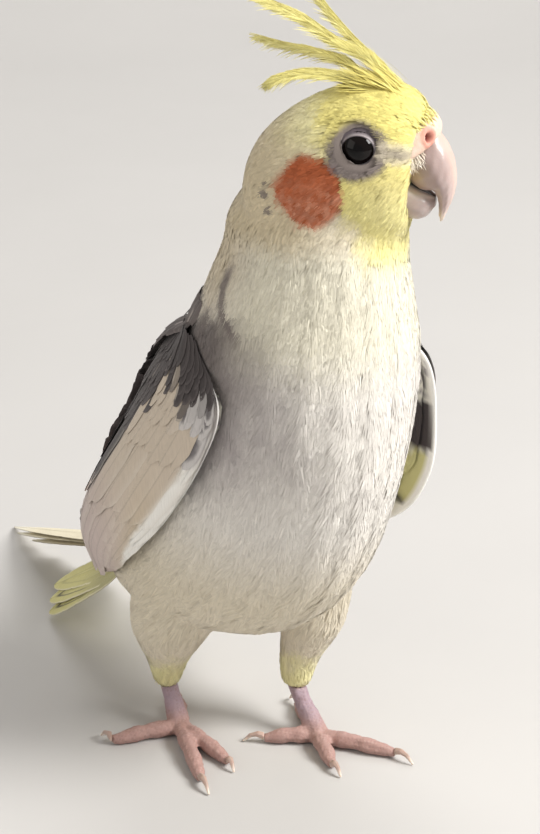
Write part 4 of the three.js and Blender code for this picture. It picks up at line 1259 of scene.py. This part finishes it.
SECONDARIES = [(0.30, 0.12, 0.94, 13, 0.66, 0.0, 7.4, 0.0)]
GREATER = [(0.22, 0.10, 0.92, 14, 0.44, -0.01, 6.4, 0.1)]
MEDIAN = [(0.16, 0.08, 0.95, 16, 0.26, -0.01, 5.0, 0.15), (0.10, 0.07, 0.96, 16, 0.22, -0.01, 4.6, 0.2)]
LESSER = [(d, 0.055, 1.0, 17, 0.15, -0.01, 3.9, 0.3) for d in (0.13, 0.10, 0.07, 0.04, 0.015, -0.01, -0.035)]
REAR = [(d, 0.80, 1.0, 4, 0.19, -0.04, 3.4, 0.85) for d in (0.52, 0.45, 0.38, 0.31, 0.24, 0.18, 0.12)]
FRONT = [(d, 0.035, 0.10, 3, 0.17, 0.004, 2.9, 0.5) for d in (0.66, 0.56, 0.47, 0.38, 0.29, 0.21, 0.14)]
WING_TIPS = [(0.55, 0.30, 0.88, 5, 0.475, 0.02, 5.4, 0.0)]
UNDER = [(0.55, 0.13, 0.9, 10, 0.42, 0.0, 6.0, 0.1), (0.30, 0.11, 0.9, 12, 0.34, 0.0, 5.4, 0.1),
         (0.14, 0.09, 0.9, 13, 0.26, 0.0, 4.8, 0.2), (0.02, 0.08, 0.9, 13, 0.18, 0.0, 4.2, 0.2)]


def under_colours(wing):
    """The inner face: laced at the top, a dark patch, a pale yellow one below it, and a white rim."""
    front = wing.spot(np.linspace(1, 0, 60), np.zeros(60))
    front_w = wing_place(front)[1]

    def colour(points, who=None, u=None, c=None):
        s, w = wing_place(points)
        z = points[:, 2] + 0.7 * ripple(points, 4.0)
        tint = painted(np.tile(pigment(238, 236, 226), (len(points), 1)), pigment(208, 204, 146), 1 - rising(z, 68.5, 70.5))
        tint = painted(tint, pigment(240, 238, 230), 1 - rising(z, 54, 57))
        tint = painted(tint, pigment(52, 46, 48), np.exp(-((z - 56.0) / 0.8) ** 2))
        tint = painted(tint, pigment(66, 58, 60), rising(z, 69.5, 70.5) * (1 - rising(z, 82, 84)))
        tint = painted(tint, pigment(150, 144, 148), rising(z, 84, 86) * (0.5 + 0.5 * np.sign(ripple(points, 2.6))))
        inside = w - np.interp(points[:, 2], front[:, 2], front_w)
        return painted(tint, pigment(248, 247, 243), 1 - rising(inside, np.where(z > 70, 0.4, 1.1), np.where(z > 70, 0.9, 1.7)))

    return colour


def build_wing(side, rails):
    name = "right" if side < 0 else "left"
    wing = Wing(side, rails)
    rows, columns = 60, 48
    t = np.linspace(0, 1, rows)
    down = np.repeat(t[:, None], columns, 1)
    turn = np.linspace(0, 2 * math.pi, columns, endpoint=False)
    share = np.broadcast_to((1 - np.cos(turn)) / 2, down.shape)
    here, _, _, up = wing.frame(down, share)
    thick = 1.7 * np.interp(t, [0, 0.12, 0.6, 1], [0.4, 1, 0.9, 0.4])[:, None] * np.abs(np.sin(turn)) ** 0.6
    offset = np.where(np.sin(turn) > 0, 0.0, -thick)
    spots = here + up * offset[..., None]
    corners, sizes = closed(spots, rows, columns)
    flat = spots.reshape(-1, 3)
    tint = np.where((np.sin(np.tile(turn, rows)) > 0)[:, None], wing_colour(flat)[0],
                    under_colours(wing)(flat))
    make_piece(f"wing_limb_{name}", flat, corners, sizes, down_material, (f"wing_{name}",),
               tint=tint, lay=flat * 0.3, uv=grid_uv(rows, columns))
    for label, table, lift, base, how in (("secondaries", SECONDARIES, 0.35, 0.12, panel_colour),
                                          ("tip_vanes", WING_TIPS, 0.30, 0.25, panel_colour),
                                          ("greater_coverts", GREATER, 0.40, 0.35, panel_colour),
                                          ("front_edge", FRONT, 0.35, 0.30, panel_colour),
                                          ("median_coverts", MEDIAN, 0.40, 0.50, None),
                                          ("rear_streaks", REAR, 0.45, 0.55, None),
                                          ("lesser_coverts", LESSER, 0.45, 0.55, None)):
        roots, tips, widths, points = feather_rows(table)
        tips[:, 0] = np.minimum(tips[:, 0], 1.01 + 0.02 * chance.uniform(-1, 1, len(tips)))
        middle = wing.spot(roots[:, 0] * 0.38 + tips[:, 0] * 0.62, roots[:, 1] * 0.38 + tips[:, 1] * 0.62)
        wing_vanes(f"{label}_{name}", wing, roots, tips, widths, points, lift, how or covert_colour(middle),
                   wing_material, base=base, roll=0.16)
    for row, table in enumerate(UNDER):
        roots, tips, widths, points = feather_rows([table])
        wing_vanes(f"under_vanes_{row}_{name}", wing, roots, tips, widths, points, 0.3, under_colours(wing),
                   wing_material, face=-1, base=0.15 + 0.08 * row)


build_wing(-1, WING)
build_wing(1, {**WING, **HELD_OUT})

# The mantle and scapulars: dark rounded feathers of the back and shoulders. They cover the root of
# each wing, so they are laid over one smooth surface drawn round the trunk and both wings.
MANTLE_VOXEL = 1.1


def laid_vanes(name, roots, reach, width, pointed, lie, colour, surface, uv_of, material, lift=0.35, base=0.15):
    """Rounded vanes that follow a surface from their roots."""
    count = len(roots)
    rows, columns = 9, 7
    places, ups, sides = paths(roots, np.broadcast_to(reach, (count,)), 4, lie, *surface)
    u = vane_rows(rows)
    at = np.clip(u * 4, 0, 4 - 1e-4)
    low = at.astype(int)
    part = (at - low)[:, None, None]
    line = (places[low] * (1 - part) + places[low + 1] * part).transpose(1, 0, 2)
    up = unit(ups[low] * (1 - part) + ups[low + 1] * part).transpose(1, 0, 2)
    side = unit(sides[low] * (1 - part) + sides[low + 1] * part).transpose(1, 0, 2)
    c = np.linspace(-1, 1, columns)
    half = np.broadcast_to(width, (count,))[:, None] / 2 * feather_outline(u, pointed)
    lean = 0.14 * chance.choice([-1, 1], (count, 1, 1)) * c + 0.15 * chance.uniform(-1, 1, (count, 1, 1))
    high = base + lift * u[None, :, None] - 0.2 * c ** 2 + 0.06 * np.exp(-(c / 0.15) ** 2) + lean
    spots = line[:, :, None] + side[:, :, None] * (half[..., None] * c)[..., None] + up[:, :, None] * high[..., None]
    who = np.repeat(np.arange(count), rows * columns)
    full = np.broadcast_to(u[None, :, None], high.shape)
    tint = colour(line[:, rows // 2], who, full.ravel(), np.broadcast_to(c, high.shape).ravel())
    lay = np.stack([full * np.mean(reach), c * half[..., None], np.broadcast_to(np.arange(count)[:, None, None] * 2.7, high.shape)], -1)
    corners, sizes = vane_faces(count, rows, columns)
    corners = turned_over(corners)
    uv = uv_of(places[0])[:, None, None] + np.stack([0.0015 * c + 0 * high, 0.003 * u[:, None] + 0 * high], -1)
    return make_piece(name, spots.reshape(-1, 3), corners, sizes, material, tint=tint,
                      lay=lay.reshape(-1, 3), uv=uv.reshape(-1, 2))


def mantle_colour(middles, who, u, c):
    length, angle, way = along_body(middles)
    dark = painted(np.tile(pigment(74, 68, 68), (len(middles), 1)), pigment(96, 88, 88), 0.5 + 0.5 * chance.uniform(-1, 1, len(middles)))
    dark = painted(dark, pigment(128, 117, 110), 0.35 * rising(middles[:, 2], 100, 108))
    tint = dark[who]
    tint = painted(tint, pigment(132, 122, 120), 0.5 * np.clip(rising(np.abs(c), 0.6, 0.95) + rising(u, 0.85, 0.98), 0, 1))
    pale = (chance.uniform(size=len(middles)) < 0.10)[who]
    return painted(tint, pigment(196, 184, 176), 0.7 * pale * (1 - rising(np.abs(c), 0.2, 0.6)) * rising(u, 0.3, 0.6))


def mantle():
    spots, normals, corners, sizes = remeshed(
        solid_of(FLESH[1:3] + ("wing_left", "wing_right"), 0.9), MANTLE_VOXEL, 14)
    spots = spots - normals * 0.55
    tree, faces = tree_of(spots, corners, sizes)
    surface = (tree, unit(np.array([normals[face].mean(0) for face in faces])))
    length, angle, way = along_body(spots)
    top = 112.0 + 1.5 * ripple(spots, 9.0)
    back = (np.abs(angle) > 1.9) & (spots[:, 2] < top) & (spots[:, 2] > 52)
    shoulder = (np.abs(angle) > 1.5) & (spots[:, 2] > 101) & (spots[:, 2] < top - 2.0)
    clear = np.abs(spots[:, 0] + 2.4) < np.where(spots[:, 2] > 101, 19.0, 16.5)

    def lie(points):
        down = body_lie(points)
        return unit(down + np.array([0, 0.25, -0.2]))

    roots, _ = scattered(spots, normals, 2.6, (back | shoulder) & clear)
    short = rising(roots[:, 2], 95, 101)
    laid_vanes("mantle", roots, 8.5 - 2.5 * short, 5.2 - 1.9 * short, 0.3, lie, mantle_colour, surface, body_map,
               wing_material)


mantle()

# Long flight feathers, whose tips show behind each wing and nearly meet over the rump.
PRIMARY_WIDTH = 6.0
PRIMARY_TIPS = [(10.5, 54, 36.6), (8.6, 59.5, 34.6), (6.8, 65, 32.8)]


def quills(name, lines, width, pointed, colour, material, nodes, cup=0.25, thick=0.3, roll=0.0):
    """Long stiff vanes along lines of root, middle and tip, each a thin blade of two faces with a round shaft."""
    count = len(lines)
    rows, columns = 70, 37
    u = vane_rows(rows)
    tops = []
    for line in lines:
        line = np.array(line, float) + MIDLINE
        spot = curve(line, u)
        way = unit(np.gradient(spot, axis=0))
        side = unit(np.stack([way[:, 1], -way[:, 0], np.zeros(rows)], 1))
        up = np.cross(side, way)
        up = up * np.sign(up[:, 2:])
        side, up = side * math.cos(roll) + up * math.sin(roll), up * math.cos(roll) - side * math.sin(roll)
        c = np.linspace(-1, 1, columns)
        half = width / 2 * feather_outline(u, pointed)
        notch = 1 - 0.06 * np.maximum(0, np.sin(u * 37 + len(tops) * 2)) ** 12
        grid = spot[:, None] + side[:, None] * (half * notch)[:, None, None] * c[None, :, None]
        high = -cup * c ** 2 * half[:, None] / 4 + 0.32 * np.exp(-(c / 0.10) ** 2) * (1 - 0.7 * u[:, None])
        grid = grid + up[:, None] * high[..., None]
        grid[..., 2] = np.maximum(grid[..., 2], 0.15)
        tops.append((grid, up))
    spots, lay, uv, tint, corners, sizes = [], [], [], [], [], []
    start = 0
    face, face_sizes = grid_faces(rows, columns, ring=False)
    for i, (grid, up) in enumerate(tops):
        c = np.linspace(-1, 1, columns)
        half = width / 2 * feather_outline(u, pointed)
        for layer, drop in ((0, 0.0), (1, thick)):
            spots.append((grid - up[:, None] * drop * (1 - 0.5 * c[None, :, None] ** 4)).reshape(-1, 3))
            ident = np.full(grid.shape[:2], 5.3 * i)
            lay.append(np.stack([u[:, None] * 70 + 0 * ident, c * half[:, None], ident], -1).reshape(-1, 3))
            uu, cc = np.broadcast_to(u[:, None], ident.shape).ravel(), np.broadcast_to(c, ident.shape).ravel()
            tint.append(colour(spots[-1], i, uu, cc, layer))
            place = np.stack([0.04 + 0.9 * (i + 0.5 * layer) / count + 0.02 * (cc * 0.5 + 0.5), 0.05 + 0.9 * uu], -1)
            uv.append(place)
            corners.append((face if layer == 0 else turned_over(face)) + start)
            sizes.append(face_sizes)
            start += rows * columns
    return make_piece(name, np.concatenate(spots), np.concatenate(corners), np.concatenate(sizes), material,
                      nodes, tint=np.concatenate(tint), lay=np.concatenate(lay), uv=np.concatenate(uv))


def primary_colour(points, who, u, c, layer):
    tint = painted(np.tile(pigment(112, 104, 104), (len(points), 1)), pigment(196, 186, 176), rising(c, 0.3, 0.9))
    return painted(tint, pigment(214, 206, 190), 0.5 * rising(u, 0.9, 1.0))


quill_material = vane_material("quill_vane", roughness=0.6)
for primary_side, primary_name in ((-1, "right"), (1, "left")):
    primary_lines = [[(primary_side * 20, 20, 46 - 0.6 * i), (primary_side * (16.5 - 0.8 * i), 40, 42 - 0.8 * i),
                      (primary_side * out, behind, up)] for i, (out, behind, up) in enumerate(PRIMARY_TIPS)]
    quills(f"primary_vanes_{primary_name}", primary_lines, PRIMARY_WIDTH, 0.8, primary_colour, quill_material,
           (f"primaries_{primary_name}",))

# The tail: a long cream pair in the middle, and shorter yellow feathers fanned out to each side and
# pointing down to the floor. On the yellow ones, a thin dark line near the rim and darker olive
# towards the root are painted shade of the next feather.
TAIL_ROOT = (38.0, 33.2)
TAIL_ROLL = 0.72
TAIL = {
    "middle": (0.01, 0.0, [(5.2, 128.5, 0.3), (3, 122, 1.6), (6.4, 112, 4.4), (0.6, 108, 5.6)]),
    "right": (-5.0, 1.5, [(-7.2, 80, 6.2), (-9.6, 78, 3.6), (-10.9, 76, 1.4)]),
    "left": (5.0, 1.5, [(9.4, 101, 5.6), (12, 90, 6.6), (14, 79, 8.6)]),
}


def tail_colour(points, who, u, c, layer):
    cream = np.tile(pigment(228, 218, 188), (len(points), 1))
    return painted(cream, pigment(240, 234, 214), rising(u, 0.75, 1.0))


def outer_tail_colour(points, who, u, c, layer):
    # Painted shade: darker olive towards the root, the shaded next feather seen inside the curved line.
    tint = painted(np.tile(pigment(214, 208, 140), (len(points), 1)), pigment(176, 170, 120), 1 - rising(u, 0.3, 0.7))
    tint = painted(tint, pigment(232, 226, 190), rising(np.abs(c), 0.86, 0.95))
    # Painted shade: a thin dark curved line standing for the shaded edge of the next feather.
    line = np.hypot((c + 0.15) / 0.55, (u - 0.2) / 0.68)
    dark = 0.9 if who > 0 else 0.25
    return painted(tint, pigment(70, 62, 56), dark * np.exp(-((line - 1) / 0.05) ** 2) * rising(u, 0.45, 0.6))


for tail_name, (tail_x, tail_drop, tail_tips) in TAIL.items():
    tail_lines = []
    for i, tip in enumerate(tail_tips):
        root = (tail_x + math.copysign(0.9, tail_x) * i, TAIL_ROOT[0], TAIL_ROOT[1] - tail_drop - 0.3 * i)
        tail_lines.append([root, tuple((a + b) / 2 for a, b in zip(root, tip)), tip])
    quills(f"tail_vanes_{tail_name}", tail_lines, 9.0, 0.75 if tail_name == "middle" else 0.4,
           tail_colour if tail_name == "middle" else outer_tail_colour, quill_material,
           (f"tail_{tail_name}",), roll={"middle": 0.0, "right": TAIL_ROLL, "left": -TAIL_ROLL}[tail_name])

# Legs: bare scaled skin over bone, from the feathered thigh down to four toes, two ahead and two
# behind, each with a curved horn claw.
TOES = ("inner", "outer", "back_outer", "back_inner")


def drawn_in(spots, claws):
    """Narrows the end of each toe towards the root of its claw."""
    heel = spots.mean(0) * np.array([1, 1, 0])
    for claw in claws:
        away = np.linalg.norm((claw - heel)[:, :2], axis=1)
        root = claw[away < away.min() + 0.8].mean(0)
        way = unit((root - heel) * np.array([1, 1, 0]))
        along = (spots - root) @ way
        axis = root + along[:, None] * way
        axis[:, 2] = 0.6 * root[2]
        near = np.linalg.norm(spots - axis, axis=1) < 3.2
        narrow = 0.42 * rising(along, -3.4, 0.2) * near
        spots = spots + (axis - spots) * narrow[:, None]
    return spots


def foot(name):
    nodes = (f"shank_{name}",) + tuple(f"toe_{name}_{toe}" for toe in TOES)
    spots, normals, corners, sizes = remeshed(solid_of(nodes, 0.3), 0.33, 7)
    spots = spots - normals * 0.15
    claws = {toe: remeshed(solid_of((f"claw_{name}_{toe}",), 0.16), 0.14, 6) for toe in TOES}
    spots = drawn_in(spots, [claw[0] for claw in claws.values()])
    wrinkle = ripple(spots, 2.6)
    cells = np.sin(spots[:, 0] * 5.2 + wrinkle) * np.sin(spots[:, 1] * 5.2 - wrinkle) * np.sin(spots[:, 2] * 4.4)
    spots = spots + normals * (0.09 * cells + 0.10 * wrinkle * (normals[:, 2] > -0.2))[:, None]
    spots[:, 2] = np.maximum(spots[:, 2], 0.02)
    tint = painted(np.tile(pigment(184, 148, 140), (len(spots), 1)), pigment(172, 150, 160), rising(spots[:, 2], 3.0, 7.5))
    # Painted shade: darker in the dents between the scales and on the undersides.
    tint = painted(tint, pigment(146, 112, 108), 0.35 * rising(-cells, 0.1, 0.6) + 0.25 * rising(-normals[:, 2], 0.2, 0.8))
    # Painted light: paler on the tops of the scales that face up.
    tint = painted(tint, pigment(204, 176, 166), 0.35 * rising(normals[:, 2], 0.4, 1.0) * rising(cells, 0, 0.6))
    uv = (spots[:, :2] - spots[:, :2].min(0)) / (np.ptp(spots[:, :2], axis=0) * 1.04) + 0.01
    make_piece(f"foot_{name}", spots, corners, sizes, leg_material, nodes, tint=tint, lay=spots, uv=uv)
    for toe in TOES:
        node = f"claw_{name}_{toe}"
        spots, normals, corners, sizes = claws[toe]
        low, high = spots.min(0), spots.max(0)
        tint = painted(np.tile(pigment(186, 160, 148), (len(spots), 1)), pigment(232, 218, 204),
                       1 - rising(spots[:, 2], 0.6, 2.2))
        uv = (spots[:, :2] - low[:2]) / ((high - low)[:2] * 1.04) + 0.01
        make_piece(f"nail_{name}_{toe}", spots, corners, sizes, horn_material, (node,),
                   tint=tint, lay=spots, uv=uv)


leg_material = plain_material("leg_skin_stuff", 0.62, bump_scale=2.2, bump=0.6, speckle=0.22, subsurface=0.1)[0]
foot("right")
foot("left")

boxes = {"cad": cad_box, "visual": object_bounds()}
{key: [list(corner) for corner in box] for key, box in boxes.items()}
